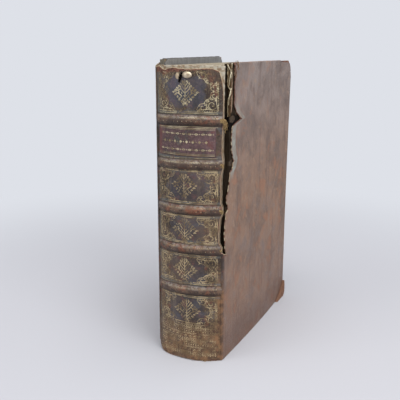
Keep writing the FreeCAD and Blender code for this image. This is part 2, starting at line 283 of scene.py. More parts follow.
# Spine linings: strips of coarse waste paper pasted to the back between the cords.
# Only the torn top of the first one shows, over the torn leather at the head.
lining_material, tree, shader = new_material("waste_paper_and_glue")
flat = position(tree)
stains = clouds(flat, 260, 6.0, 0.65)
fibres = clouds(position(tree, (1, 1, 0.2)), 2400, 4.0, 0.7)
paper = mix(between(stains, 0.4, 0.66), (186, 176, 158), (132, 112, 88))
paper = mix(between(fibres, 0.52, 0.75, 0.0, 0.5), paper, (206, 198, 182))
# Painted shadow: the lining seen through the slit in the leather is made near black, for the deep shade
# inside the tear.
slit_painted_shadow = region(
    apart(flat),
    (0, -0.0010, 0.0002), (0, 0.0056, 0.0066, 1.0, 0.0), (2, 0.1855, 0.1870), (2, 0.1945, 0.1955, 1.0, 0.0),
)
paper = mix(slit_painted_shadow, paper, (26, 20, 16))
coat(shader, paper, 0.92, 0.15)
relief(shader, fibres, 0.0002)
dress([f"spine_lining_{i + 1}" for i in range(6)], lining_material)

# Sewing cords: hemp cords that the sections are sewn to, with the slips that are laced into both boards.
# At the front the upper four have broken at the joint, and their frayed stubs stick out of the tear.
cord_material, tree, shader = new_material("hemp_cord")
twist = stripes(position(tree), "DIAGONAL", 420, 2.0)
hairs = clouds(position(tree), 2600, 4.0, 0.7)
hemp = mix(between(hairs, 0.4, 0.6), (116, 90, 56), (206, 178, 128))
hemp = mix(between(twist, 0.5, 0.9, 0.0, 0.5), hemp, (78, 58, 38))
coat(shader, hemp, 0.9, 0.1)
relief(shader, twist, 0.0002)
glued_cord, tree, shader = new_material("glue_soaked_cord")
soaked = clouds(position(tree), 900, 5.0, 0.7)
coat(shader, mix(between(soaked, 0.4, 0.65), (44, 33, 22), (86, 66, 42)), 0.8)
dress([f"sewing_cord_{i + 1}" for i in range(5)], cord_material)
dress([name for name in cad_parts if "_slip_" in name], glued_cord)

band_heights = (164.3, 135.9, 106.0, 79.2, 50.3)


def strands(name, paths, radius, material, resolution=2):
    """Loose strands, thick at the first point of each path and fine at its last; paths are in millimetres."""
    curve = bpy.data.curves.new(name, "CURVE")
    curve.dimensions = "3D"
    curve.bevel_depth = radius * mm
    curve.bevel_resolution = 1
    curve.resolution_u = resolution
    for path in paths:
        line = curve.splines.new("NURBS")
        line.points.add(len(path) - 1)
        for i, spot in enumerate(path):
            line.points[i].co = (*place(*spot), 1)
            line.points[i].radius = 1.0 - 0.72 * i / (len(path) - 1)
        line.order_u = 3
        line.use_endpoint_u = True
    drawn = new_object(name + "_lines", curve)
    bpy.context.view_layer.update()
    mesh = bpy.data.meshes.new_from_object(drawn)
    bpy.data.objects.remove(drawn)
    mesh.name = name
    mesh.materials.clear()
    mesh.materials.append(material)
    for face in mesh.polygons:
        face.use_smooth = True
        face.material_index = 0
    return new_object(name, mesh)


random.seed(21)
loose_ends = ((80, 3.0, 4.8, 7.4), (26, 2.0, 1.6, 1.6), (22, 1.9, 2.0, 1.4), (10, 1.2, 1.0, 0.8))
for i, z in enumerate(band_heights[:4]):
    paths = []
    count, out, along, fall = loose_ends[i]
    for _ in range(count):
        turn = random.uniform(0, 2 * math.pi)
        off = 1.35 * math.sqrt(random.uniform(0.0, 1.0))
        y0 = -2.3 + off * math.cos(turn) * 0.7
        z0 = z + 0.2 + off * math.sin(turn)
        length = out * random.uniform(0.6, 1.0)
        sideways = along * random.uniform(0.0, 1.0)
        drop = fall * random.uniform(-0.1, 1.0)
        paths.append([
            (21.8, y0, z0),
            (22.2 + length * 0.6, y0 + sideways * 0.05, z0 + random.uniform(-0.1, 0.6)),
            (22.3 + length * 0.95, y0 + sideways * 0.35, z0 - drop * 0.15),
            (22.4 + length * random.uniform(0.8, 1.1), y0 + sideways * 0.75, z0 - drop * 0.6),
            (22.3 + length * random.uniform(0.7, 1.05), y0 + sideways, z0 - drop),
        ])
    stub = strands(f"cord_stub_{i + 1}", paths, 0.27, cord_material)
    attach(stub, "book_block")

# Tail endband: thread worked over a rolled core, sewn to the tail of the leaves.
endband_material, tree, shader = new_material("endband_thread")
wraps = stripes(position(tree), "X", 190, 0.6)
thread = mix(between(wraps, 0.3, 0.7), (92, 84, 74), (168, 150, 120))
coat(shader, thread, 0.85)
relief(shader, wraps, 0.0003)
dress(("tail_endband",), endband_material)

# Boards: pasteboard made of many pasted sheets, so worn corners and edges split into layers.
# Along the torn joint the front board's edge is frayed, and painted near black there for the shade in the
# deep gap beside the back.
board_material, tree, shader = new_material("pasteboard")
spots = apart(position(tree))
layers = clouds(position(tree, (1, 0.05, 0.05)), 1900, 3.0, 0.6)
crumbs = clouds(position(tree, (1, 1, 0.3)), 700, 6.0, 0.7)
board = mix(between(layers, 0.38, 0.64), (112, 92, 68), (178, 158, 128))
board = mix(between(crumbs, 0.42, 0.68, 0.0, 0.7), board, (84, 64, 46))
# Painted shade: the front board near the joint is made almost black, for the deep shade of the gap between
# the back and the board.
joint_gap_painted_shade = region(spots, (1, -0.0430, -0.0400, 1.0, 0.0), (2, 0.1980, 0.1995, 1.0, 0.6), (0, 0.0, 0.0010))
# Painted shadow: the board bared in the notch at the first band is made almost black, for the shade under the
# lifted leather.
notch_painted_shadow = region(
    spots, (2, 0.1560, 0.1580), (2, 0.1655, 0.1690, 1.0, 0.0), (1, -0.0300, -0.0260, 1.0, 0.0),
)
worn_corner = region(spots, (1, 0.0440, 0.0460))
corner_tone = mix(between(clouds(position(tree), 500, 5.0, 0.7), 0.4, 0.6), (168, 128, 110), (116, 82, 68))
rear_end = region(
    spots, (0, -0.0120, -0.0100, 1.0, 0.0), (1, -0.0545, -0.0530, 1.0, 0.0), (2, 0.1860, 0.1900),
)
bumped = region(spots, (1, 0.0500, 0.0530), (2, 0.0150, 0.0170, 1.0, 0.0), (0, 0.0270, 0.0300))
for mask, amount, tone in (
    (joint_gap_painted_shade, 0.95, (40, 31, 23)), (notch_painted_shadow, 0.96, (16, 12, 10)), (worn_corner, 0.7, corner_tone),
    (rear_end, 0.85, (112, 110, 102)), (bumped, 0.7, (128, 94, 76)),
):
    board = mix(times(mask, amount), board, tone)
coat(shader, board, 0.95, 0.1)
relief(shader, crumbs, 0.0005)
dress(("front_board", "rear_board"), board_material)

random.seed(5)
fibre_material, tree, shader = new_material("torn_board_fibres")
along = clouds(position(tree, (1, 1, 0.15)), 1500, 4.0, 0.6)
fibre = mix(between(along, 0.35, 0.7), (112, 76, 58), (184, 160, 132))
coat(shader, fibre, 0.95)
paths = []
for _ in range(12):
    y0 = random.uniform(6.4, 11.0)
    top = random.uniform(184, 199.4)
    foot = top - random.uniform(9, 26)
    foot = max(foot, 168.5 + abs(y0 - 9.5) * 0.6)
    lift = random.uniform(0.0, 0.4)
    sway = random.uniform(-0.7, 0.7)
    paths.append([
        (23.7, y0, foot),
        (23.75 + lift, y0 + sway * 0.4, foot + (top - foot) * 0.35),
        (23.8 + lift * 1.5, y0 + sway * 0.8, foot + (top - foot) * 0.7),
        (23.75 + lift, y0 + sway, top),
    ])
for _ in range(34):
    y0 = random.uniform(13.6, 21.0)
    foot = 200.0 - random.uniform(0.5, 13.0) * (1.0 if y0 < 17 else 0.4)
    lift = random.uniform(0.25, 0.8)
    sway = random.uniform(-1.6, 1.2)
    rise = random.uniform(0.8, 3.0)
    top = min(foot + rise, 201.2)
    paths.append([
        (24.1, y0, foot),
        (24.3 + lift * 0.7, y0 + sway * 0.3, foot + (top - foot) * 0.4),
        (24.3 + lift, y0 + sway * 0.7, foot + (top - foot) * 0.8),
        (24.3 + lift * 0.9, y0 + sway, top),
    ])
fibres = strands("torn_board_fibres", paths, 0.24, fibre_material)
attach(fibres, "front_cover")

# Torn joint strip: a narrow length of the old joint, leather outside and paste and paper inside.
# It has come loose from the spine, hangs twisted in front of the board's edge, and its top has split into
# pale strands.
def marked(tree, name):
    """A number painted on the mesh."""
    return put(tree, "ShaderNodeAttribute", {}, attribute_name=name).outputs["Fac"]


strip_material, tree, shader = new_material("torn_joint_leather")
edge_of = marked(tree, "pale_edge")
fray = clouds(position(tree, (1, 1, 0.18)), 1300, 5.0, 0.65)
dark_side = mix(between(fray, 0.35, 0.68), (50, 37, 26), (98, 76, 50))
pale_side = mix(between(fray, 0.35, 0.65), (206, 190, 154), (150, 126, 92))
shade = uneven(edge_of, fray, 1.1)
coat(shader, mix(between(shade, 0.3, 0.7), dark_side, pale_side), 0.9, 0.1)
relief(shader, fray, 0.0004)
strip_foot, strip_length, twist_height = 166.5, 32.4, 181.5
bm = new_sheet(5, 60)
pale_edge = bm.verts.layers.float.new("pale_edge")
for vert in bm.verts:
    side, up = vert.co.x, vert.co.y + 0.5
    z = strip_foot + up * strip_length
    from_twist = z - twist_height
    turn = -0.75 + 2.9 * math.exp(-((from_twist / 3.2) ** 2)) + 0.25 * noise.noise(Vector((0, 0, z * 0.4)))
    width = (3.1 + 0.9 * up) * (1 - 0.45 * math.exp(-((from_twist / 2.4) ** 2)))
    middle_y = 6.0 - 0.9 * up + 0.5 * noise.noise(Vector((4.0, 0, z * 0.16)))
    ragged = 1 + 0.3 * noise.noise(Vector((side * 5, 3.0, z * 0.9)))
    vert[pale_edge] = 0.75 if side < -0.35 else (0.25 if side < -0.15 else 0.0)
    across_strip = side * width * ragged
    x = 24.1 + 0.5 * up - across_strip * math.sin(turn) * 0.55
    vert.co = place(x, middle_y + across_strip * math.cos(turn), z)
torn_strip = new_piece("torn_joint_strip", bm, strip_material)
thicken(torn_strip, 0.5, 0.0)
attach(torn_strip, "front_cover")
pale_material, tree, shader = new_material("pale_torn_strands")
along = clouds(position(tree, (1, 1, 0.2)), 1200, 3.0, 0.6)
coat(shader, mix(between(along, 0.35, 0.7), (224, 212, 182), (176, 156, 120)), 0.9)
split_ends = [
    [(24.6, 2.0, 198.9), (24.8, 2.9, 197.6), (25.1, 4.3, 196.0), (25.2, 5.6, 194.4), (25.1, 6.2, 192.8)],
    [(25.3, 7.2, 199.6), (25.3, 6.8, 198.0), (25.2, 6.5, 196.0), (25.2, 6.4, 194.0), (25.0, 5.9, 191.5)],
    [(25.2, 6.5, 194.2), (25.1, 5.6, 192.4), (25.0, 4.8, 190.6), (24.9, 4.4, 188.2), (24.8, 4.6, 186.0)],
    [(25.2, 6.6, 194.4), (25.1, 7.4, 192.6), (25.0, 7.4, 190.6), (24.9, 6.8, 188.6), (24.8, 6.2, 186.4)],
    [(25.0, 4.0, 184.6), (25.2, 5.4, 183.4), (25.3, 6.6, 181.8), (25.1, 5.6, 180.2), (24.9, 4.2, 179.0)],
    [(25.1, 6.8, 184.0), (25.2, 5.6, 182.4), (25.1, 4.4, 180.8), (24.9, 3.8, 178.2), (24.7, 3.8, 174.0)],
]
strand_piece = strands("pale_split_strands", split_ends, 0.42, pale_material, 4)
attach(strand_piece, "front_cover")

# Covering leather: one calf skin over spine, joints and boards, pared thin and turned in round the boards.
# It has gone dark and polished on the back and grey-brown on the boards, with red rubbed patches,
# vertical streaks and fine cracks. Attributes on each piece say where it is torn, rubbed, stained or gilt,
# and where shade and highlights are painted on.
calf, tree, shader = new_material("old_calf")
plain = position(tree)
along_joint, height = apart(plain)[1:]
streaks = clouds(position(tree, (1, 1, 0.09)), 210, 5.0, 0.6)
fine_streaks = clouds(position(tree, (1, 1, 0.12)), 900, 4.0, 0.6)
mottle = clouds(plain, 36, 6.0, 0.6, 0.3)
patches = clouds(plain, 78, 7.0, 0.64, 0.5)
blots = clouds(plain, 165, 6.0, 0.62, 0.4)
specks = clouds(plain, 560, 5.0, 0.72)
grain = clouds(plain, 2300, 3.0, 0.6)
on_board = between(along_joint, -0.0600, -0.0572)
board_grey = mix(between(mottle, 0.38, 0.64), (152, 137, 130), (128, 113, 106))
board_brown = mix(between(mottle, 0.38, 0.64), (147, 116, 95), (118, 94, 79))
low_down = between(sums("ADD", height, times(patches, 0.11)), 0.165, 0.255, 1.0, 0.0)
cover = mix(low_down, board_grey, board_brown)
redder = sums("ADD", times(low_down, 0.45), 0.3)
cover = mix(between(patches, 0.54, 0.66, 0.0, redder), cover, (164, 116, 88))
cover = washed(cover, [
    (blots, 0.55, 0.66, 0.0, 0.4, (172, 142, 116)),
    (patches, 0.34, 0.47, 0.65, 0.0, (114, 98, 91)),
    (streaks, 0.53, 0.69, 0.0, 0.55, (106, 84, 74)),
    (height, 0.03, 0.11, 0.3, 0.0, (110, 82, 70)),
    (fine_streaks, 0.56, 0.74, 0.0, 0.32, (172, 148, 132)),
    (specks, 0.62, 0.78, 0.0, 0.45, (86, 64, 56)),
    (height, 0.004, 0.034, 0.5, 0.0, (104, 78, 68)),
])
back = mix(between(mottle, 0.4, 0.6), (92, 74, 60), (56, 44, 37))
back = washed(back, [
    (blots, 0.53, 0.62, 0.0, 0.8, (108, 64, 50)),
    (patches, 0.36, 0.47, 0.7, 0.0, (86, 84, 88)),
    (streaks, 0.55, 0.7, 0.0, 0.6, (124, 106, 88)),
    (specks, 0.53, 0.68, 0.0, 0.85, (38, 30, 26)),
])
field = times(marked(tree, "field"), between(specks, 0.36, 0.5, 1.0, 0.8))
stain = mix(between(blots, 0.38, 0.6), (62, 66, 76), (84, 80, 92))
back = mix(field, back, stain)
tan = mix(between(blots, 0.4, 0.6), (138, 100, 68), (86, 62, 45))
back = mix(times(marked(tree, "tan"), between(specks, 0.5, 0.66, 0.95, 0.45)), back, tan)
flecks = clouds(plain, 820, 3.0, 0.7)
# Gilt flecks in the panels; towards the back's left edge they also stand for a painted sheen.
gold_and_sheen_amount = times(marked(tree, "gilt_haze_and_sheen"), between(flecks, 0.53, 0.6))
back = mix(times(gold_and_sheen_amount, 0.7), back, (160, 138, 94))
# The grey zone above each band; towards the back's left edge it also stands for a painted sheen.
above = times(marked(tree, "above"), between(blots, 0.36, 0.6, 0.95, 0.4))
back = mix(above, back, (104, 108, 106))
crown_tone = mix(between(blots, 0.42, 0.58), (113, 88, 70), (78, 60, 50))
crown_tone = washed(crown_tone, [
    (patches, 0.5, 0.6, 0.0, 0.75, (138, 82, 57)),
    (specks, 0.51, 0.62, 0.0, 0.85, (50, 37, 30)),
])
back = mix(marked(tree, "crown"), back, crown_tone)
# Pale milling on the upper slope of each band, with a painted highlight where the light from above falls on
# that slope.
back = mix(times(marked(tree, "milling_and_painted_highlight"), between(specks, 0.44, 0.54, 0.05, 0.8)), back, (178, 168, 157))
# Painted shade: near black in the creases beside each band and over the lower half of its crown, where shade
# falls under light from above.
back = mix(times(marked(tree, "crease"), 0.9), back, (40, 31, 26))
skin = mix(on_board, back, cover)
lip = times(marked(tree, "lip"), between(blots, 0.4, 0.55, 0.9, 0.5))
skin = mix(lip, skin, (158, 158, 148))
ragged = uneven(marked(tree, "rubbed"), specks, 0.9)
skin = mix(between(ragged, 0.4, 0.75, 0.0, 0.85), skin, (146, 106, 84))
torn_tone = mix(between(specks, 0.42, 0.6), (128, 84, 66), (74, 45, 34))
torn = uneven(marked(tree, "torn"), blots, 1.4)
skin = mix(between(torn, 0.35, 0.65, 0.0, 0.95), skin, torn_tone)
raw = uneven(marked(tree, "raw"), specks, 0.8)
skin = mix(between(raw, 0.45, 0.7), skin, (186, 166, 136))
turned_tone = mix(between(fine_streaks, 0.35, 0.65), (150, 150, 148), (124, 123, 120))
skin = mix(marked(tree, "turned"), skin, turned_tone)
# Painted shade: near black beside the slit under the pin, along the rear cover's top edge and ends, and on
# the rear joint's torn top.
skin = mix(marked(tree, "painted_shade"), skin, (38, 32, 30))
tree.links.new(skin, shader.inputs["Base Color"])
shine = between(patches, 0.35, 0.7, 0.4, 0.62)
shine = sums("ADD", shine, times(torn, 0.12))
tree.links.new(shine, shader.inputs["Roughness"])
shader.inputs["Specular IOR Level"].default_value = 0.4
cell_places = {"Vector": position(tree, (1, 1, 0.55)), "Scale": 420.0}
cells = put(tree, "ShaderNodeTexVoronoi", cell_places, feature="DISTANCE_TO_EDGE").outputs[0]
bumps = times(between(cells, 0.0, 0.09), 0.35)
for rough, amount in ((grain, 0.35), (specks, 1.0), (fine_streaks, 0.4)):
    bumps = sums("ADD", bumps, times(rough, amount))
relief(shader, bumps, 0.0004, 0.8)

marks = (
    "torn", "raw", "rubbed", "lip", "field", "tan", "gilt_haze_and_sheen", "above", "crown", "milling_and_painted_highlight", "crease",
    "turned", "painted_shade",
)


def add_marks(bm):
    """Layers for the painted numbers that the leather's material reads, all at nothing to begin with."""
    return {name: bm.verts.layers.float.new(name) for name in marks}


def paint(vert, layer, mark):
    """Puts the painted numbers on a vertex."""
    for name, amount in mark.items():
        vert[layer[name]] = amount


def face_out(bm, way):
    """Makes all faces agree, with their outer side mostly along a direction."""
    bmesh.ops.recalc_face_normals(bm, faces=bm.faces)
    if sum(f.normal.dot(way) for f in bm.faces) < 0:
        bmesh.ops.reverse_faces(bm, faces=bm.faces)


def face_forward(bm):
    """Turns each face of a loose sheet towards the front of the back."""
    bmesh.ops.recalc_face_normals(bm, faces=bm.faces)
    turned = [f for f in bm.faces if f.normal.y > 0]
    bmesh.ops.reverse_faces(bm, faces=turned)


def near(distance, reach):
    """1 at no distance, falling evenly to 0 at a reach."""
    return max(0.0, 1 - abs(distance) / reach)


def follow(points, at):
    """The value of a line of (place, value) points at a place."""
    if at <= points[0][0]:
        return points[0][1]
    for (a0, b0), (a1, b1) in zip(points, points[1:]):
        if at <= a1:
            return b0 + (b1 - b0) * (at - a0) / max(a1 - a0, 1e-9)
    return points[-1][1]


def inside(outline, a, b):
    """True if the point (a, b) is inside a closed outline."""
    hit = False
    for i, (a1, b1) in enumerate(outline):
        a0, b0 = outline[i - 1]
        if (b0 > b) != (b1 > b) and a < (a1 - a0) * (b - b0) / (b1 - b0) + a0:
            hit = not hit
    return hit


def nearest(outline, a, b):
    """The nearest point of an outline, and how far away it is."""
    best = (1e9, a, b)
    for i, (a1, b1) in enumerate(outline):
        a0, b0 = outline[i - 1]
        run = (a1 - a0) ** 2 + (b1 - b0) ** 2
        t = 0.0 if run == 0 else clamp(((a - a0) * (a1 - a0) + (b - b0) * (b1 - b0)) / run)
        pa, pb = a0 + t * (a1 - a0), b0 + t * (b1 - b0)
        best = min(best, (math.hypot(pa - a, pb - b), pa, pb))
    return best


def shake(a, b, size, seed):
    """Even noise from -1 to 1 about, at a spot on a surface; size is how many waves to a millimetre."""
    return noise.noise(Vector((a * size, seed, b * size)))


# Spine leather: it follows the rounded back tightly and rises over the five cords as raised bands.
# The headcap is torn off, the right side is torn along the joint, the tail is worn away at its left.
leather_radius = 44.153
band_axis = 25.34
band_radius = 36.19
band_half_width = 3.15
spine_half = 23.75
spine_tear_foot = 79
panel_edges = (198.0, *band_heights, 0.0)
panel_middles = (182.0, 0, 121.8, 92.2, 64.8, 36.0)
panel_reaches = (11.5, 1, 11.0, 10.5, 10.0, 11.0)
panel_colours = (1.0, 0, 0.55, 0.5, 0.35, 0.4)
flare_share = [(-26, 0.5), (-20, 1.0), (6, 1.0), (20, 0.25), (26, 0.0)]
band_lines = (
    [(-19, 164.1), (5, 164.9), (20, 164.5)], [(-19, 135.5), (5, 136.4), (20, 136.5)],
    [(-19, 105.6), (5, 106.4), (20, 106.6)], [(-19, 78.6), (5, 79.9), (20, 79.5)],
    [(-19, 49.4), (5, 50.8), (20, 50.9)],
)
head_edge = [
    (-23.75, 197.4), (-22.4, 197.7), (-20.3, 197.6), (-19.0, 197.0), (-17.6, 196.2), (-15.3, 195.6),
    (-13.7, 196.2), (-11.5, 196.7), (-8.0, 197.2), (-6.2, 197.0), (-4.4, 196.5), (-1.0, 196.5),
    (2.7, 196.2), (6.0, 196.5), (9.6, 196.4), (13.0, 196.8), (15.5, 196.8), (17.8, 196.5), (19.8, 195.8),
    (21.6, 195.0), (23.75, 194.4),
]
tail_edge = [
    (-23.75, 6.6), (-22.9, 4.8), (-22.1, 3.6), (-20.7, 2.2), (-18.9, 1.2), (-16.7, 0.5), (-14.7, 0.2),
    (-12.2, 0.15), (-9.1, 0.3), (-4.1, 0.9), (1.0, 0.7), (4.5, 0.9), (8.0, 0.3), (11.0, 0.4), (14.0, 0.2),
    (16.0, 0.15), (23.75, 0.3),
]
right_edge = [
    (0, 23.75), (79.0, 23.75), (82, 23.1), (84.5, 21.8), (90, 21.7), (95.5, 22.0), (101, 22.4),
    (104.5, 23.6), (109, 23.6), (111.5, 22.6), (116.5, 22.8), (123.5, 22.6), (130, 22.8), (134.5, 23.7),
    (139, 23.8), (143.5, 23.2), (151.5, 23.2), (159.5, 23.5), (161.5, 23.6), (166.5, 23.7), (173.5, 23.7),
    (178.0, 23.75), (182.0, 23.7), (186.0, 23.4), (190.0, 22.9), (194.0, 22.0), (198, 20.7),
]
slit = [
    (-5.0, 187.9), (-4.2, 190.0), (-3.4, 192.0), (-2.2, 194.2), (-1.3, 194.0), (-1.4, 192.0),
    (-2.0, 190.2), (-3.6, 187.8),
]


def above_band(x, z):
    """How far above the middle line of the nearest band this spot is."""
    return min([z - follow(line, x) for line in band_lines], key=abs)


def band_share(x, z):
    """How far up a raised band's crown this spot is, from 0 to 1."""
    away = abs(above_band(x, z)) / band_half_width
    return max(0.0, 1 - away**2.2) ** 1.1


def on_circle(radius, angle):
    """A spot at a distance and an angle from the axis of the rounded back."""
    return radius * math.sin(angle), back_axis - radius * math.cos(angle)


def on_back(x, z, lift=0.0):
    """A point on the spine leather's outside, x millimetres round from the middle, z up."""
    angle = x / leather_radius
    offset = back_axis - band_axis
    band_reach = offset * math.cos(angle) + math.sqrt(band_radius**2 - (offset * math.sin(angle)) ** 2)
    crown = max(0.0, band_reach - leather_radius)
    worn = shake(x, z, 0.1, 3.1) * 0.16 + shake(x, z, 0.7, 7.7) * 0.06
    away = abs(above_band(x, z))
    crease = -0.14 * near(away - band_half_width - 0.5, 0.9)
    notches = 0.1 * shake(x * 1.6, z, 0.9, 1.4) * band_share(x, z)
    flare = 2.1 * max(0.0, (16 - z) / 16) ** 1.4 * follow(flare_share, x)
    radius = leather_radius + crown * band_share(x, z) + worn + crease + notches + flare + lift - 0.05
    return place(*on_circle(radius, angle), z)


def round_back(x):
    """Distance round the back for a point x millimetres to the side of the middle."""
    return leather_radius * math.asin(max(-0.99, min(0.99, x / leather_radius)))


head_line = [(round_back(x), z) for x, z in head_edge]
tail_line = [(round_back(x), z) for x, z in tail_edge]
right_line = [(z, round_back(x)) for z, x in right_edge]


def leather_edges(x, z):
    """Foot, head, left and right end of the leather that is left, seen from a spot on it."""
    low = max(0.06, follow(tail_line, x) + 0.16 * shake(x, 0, 0.9, 5.5) + 0.1 * shake(x, 0, 3.1, 2.5))
    high = follow(head_line, x) + 0.22 * shake(x, 0, 0.9, 8.5) + 0.14 * shake(x, 0, 3.3, 6.5)
    right = follow(right_line, z)
    if spine_tear_foot < z < panel_edges[0]:
        right += 0.14 * shake(0, z, 0.8, 4.5) + 0.1 * shake(0, z, 2.9, 9.5)
    left = -round_back(spine_half) + 0.12 * shake(0, z, 0.5, 6.1)
    return low, high, left, right


bm = new_sheet(92, 340)
layer = add_marks(bm)
for vert in bm.verts:
    across, up = vert.co.x + 0.5, vert.co.y + 0.5
    x, z = (across * 2 - 1) * 24.5, up * 197
    for _ in range(3):
        low, high, left, right = leather_edges(x, z)
        z = low + up * (high - low)
        x = left + across * (right - left)
    vert.co = Vector((x, 0, z))
cut_faces = [f for f in bm.faces if inside(slit, f.calc_center_median().x, f.calc_center_median().z)]
bmesh.ops.delete(bm, geom=cut_faces, context="FACES")
raw_reach = [(79, 0.3), (110, 0.4), (140, 0.6), (160, 0.15), (180, 0.1), (186, 0.25), (198, 1.8)]
for vert in bm.verts:
    mark = {}
    x, z = vert.co.x, vert.co.z
    low, high, left, right = leather_edges(x, z)
    away = above_band(x, z)
    share = band_share(x, z)
    from_head, from_tail, from_right = high - z, z - low, right - x
    red_reach = follow([(-23, 5.2), (-8, 4.4), (0, 2.2), (10, 1.2), (23, 1.6)], x)
    at_right = z > spine_tear_foot
    torn_right = (0.9 - from_right / 1.4) * at_right
    raw_right = (1.1 - from_right / follow(raw_reach, z)) * at_right
    mark["torn"] = max(0.0, 1.15 - from_head / red_reach, 0.8 - from_tail / 1.6, torn_right)
    mark["raw"] = max(0.0, 1.1 - from_head / 0.5, raw_right, 0.75 - from_tail / 0.6)
    mark["crown"] = 0.92 * min(1.0, share * 2.2)
    # The pale mark on each band's upper slope is worn milling and a painted highlight together.
    milling_and_painted_highlight = 0.55 + 0.6 * shake(x, z, 0.22, 3.0)
    mark["milling_and_painted_highlight"] = follow([(0.6, 0), (1.6, 0.8), (2.9, 0.9), (3.3, 0.0)], away) * milling_and_painted_highlight
    # Painted shade in the creases beside the bands and on the lower half of each crown.
    shade_beside_band = near(away + 3.0, 0.9) + 0.55 * near(away - 3.6, 0.4)
    shade_on_lower_crown = follow([(-3.2, 0.0), (-2.9, 0.7), (-1.6, 0.5), (-0.5, 0.0)], away)
    mark["crease"] = max(shade_beside_band, shade_on_lower_crown * (0.8 + 0.6 * shake(x, z, 0.3, 8.0)))
    mark["above"] = near(away - 4.9, 1.5) * 0.95 + 0.7 * near(away + 4.6, 1.1)
    mark["tan"] = clamp((30 - z) / 12) * 0.8 + clamp((x - 19.5) / 3) * clamp((72 - z) / 20)
    bare = clamp((x - 13.0) / 2.0, (from_head - 0.8) / 1.0, (z - 181.5) / 3.0)
    mark["rubbed"] = 0.3 * max(0.0, 1 - (x - left) / 2.5, bare)
    for k in range(6):
        top, foot = panel_edges[k] - 4.0 * (k > 0), panel_edges[k + 1] + 4.0 * (k < 5)
        if foot < z < top and k != 1:
            a, b = (x - 0.6) / 15.5, (z - panel_middles[k]) / panel_reaches[k]
            turn = math.atan2(b, a)
            lozenge = math.hypot(a, b) * (1 + 0.13 * math.cos(4 * turn)) + 0.05 * math.sin(11 * turn)
            strong = panel_colours[k] * (0.75 + 0.8 * shake(x, z, 0.08, 12.0 + k))
            mark["field"] = clamp(strong) * clamp((0.97 - lozenge) * 9)
            most_gold = (0.8 if x < 13 else 0.35) if k == 0 else (0.45 if k == 5 else 0.5)
            mark["gilt_haze_and_sheen"] = max(0.12, min(most_gold, (lozenge - 0.85) * 3))
            # Painted sheen: towards the back's left edge more gold flecks and more of the grey zone are laid
            # on, for the gloss that catches the bright surroundings there.
            if x < -17.5:
                mark["gilt_haze_and_sheen"] = min(0.9, mark["gilt_haze_and_sheen"] + 0.16 * (-17.5 - x))
                mark["above"] = max(mark["above"], 0.12 * (-17.5 - x) * (1.0 if k == 0 else 0.6))
            if k == 5 and z < 27:
                mark["gilt_haze_and_sheen"] = 0.4
    # Painted shadow beside the slit, under the pin's left side.
    mark["painted_shade"] = max(0.0, 1 - nearest(slit, x, z)[0] / 1.1) if x > -3.9 else 0.0
    flap = max(0.0, 1 - math.hypot(x + 4.9, (z - 191.9) * 0.7) / 1.9)
    flap *= x < follow([(188, -4.8), (194, -2.4)], z)
    mark["raw"] = max(mark["raw"], flap * 2.2)
    mark["lip"] = min(1.0, flap * 1.3)
    paint(vert, layer, mark)
    vert.co = on_back(x, z, flap)
face_out(bm, Vector((0, -1, 0)))
spine_leather = new_piece("spine_calf", bm, calf)
thicken(spine_leather, 0.9)
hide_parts("spine_leather")
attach(spine_leather, "book_block")

# Torn lining edge: where the leather has come away at the head and along the torn joint, the pale
# pasted paper and the flesh side of the skin stand out beyond it as a soft crumpled lip.
lip_material, tree, shader = new_material("pale_torn_lining")
soft = clouds(position(tree), 330, 6.0, 0.65)
hairy = clouds(position(tree, (1, 1, 0.3)), 1700, 4.0, 0.7)
pale = mix(between(soft, 0.42, 0.62), (190, 182, 164), (146, 124, 100))
pale = mix(between(hairy, 0.55, 0.72, 0.0, 0.6), pale, (102, 80, 62))
lower_down = between(apart(position(tree))[2], 0.168, 0.190, 1.0, 0.0)
pale = mix(times(lower_down, 0.75), pale, (108, 88, 68))
coat(shader, pale, 0.95, 0.1)
relief(shader, soft, 0.0006)
lining_radius = 43.15
lining_reach = [
    (80, 0.2), (100, 0.3), (125, 0.4), (134, 0.2), (142, 0.7), (158, 0.6), (165, 0.2), (172, 0.15),
    (178, 0.15), (182, 0.25), (186, 0.6), (190, 1.2), (194, 2.4), (198, 3.9),
]
head_lip_foot, side_lip_foot, side_lip_length = 194.0, 80.5, 117.6
bm = bmesh.new()
for part_of, wide, tall in (("head", 80, 6), ("side", 4, 170)):
    made = bmesh.ops.create_grid(bm, x_segments=wide, y_segments=tall, size=0.5)["verts"]
    for vert in made:
        across, up = vert.co.x + 0.5, vert.co.y + 0.5
        if part_of == "head":
            x = -24.0 + across * 47.6
            top = 198.35 + 0.35 * shake(x, 0, 0.35, 2.0) + 0.25 * shake(x, 0, 1.6, 3.0)
            z = head_lip_foot + up * (top - head_lip_foot)
            out = 0.15 + 0.5 * up**2 * (1 + shake(x, 0, 0.5, 4.0)) + 0.15 * shake(x, z, 1.1, 5.0)
        else:
            z = side_lip_foot + up * side_lip_length
            edge = follow(right_line, z)
            reach = follow(lining_reach, z) + 0.25 * shake(0, z, 0.9, 7.0)
            x = edge - 1.6 + across * (1.6 + max(0.1, reach))
            out = 0.1 + 0.45 * across**2 * (1 + shake(0, z, 0.6, 9.0)) - 0.6 * max(0.0, x - 24.8)
        vert.co = place(*on_circle(lining_radius + out, x / lining_radius), z)
face_forward(bm)
lining_lip = new_piece("torn_lining_edge", bm, lip_material)
thicken(lining_lip, 0.45)
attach(lining_lip, "book_block")

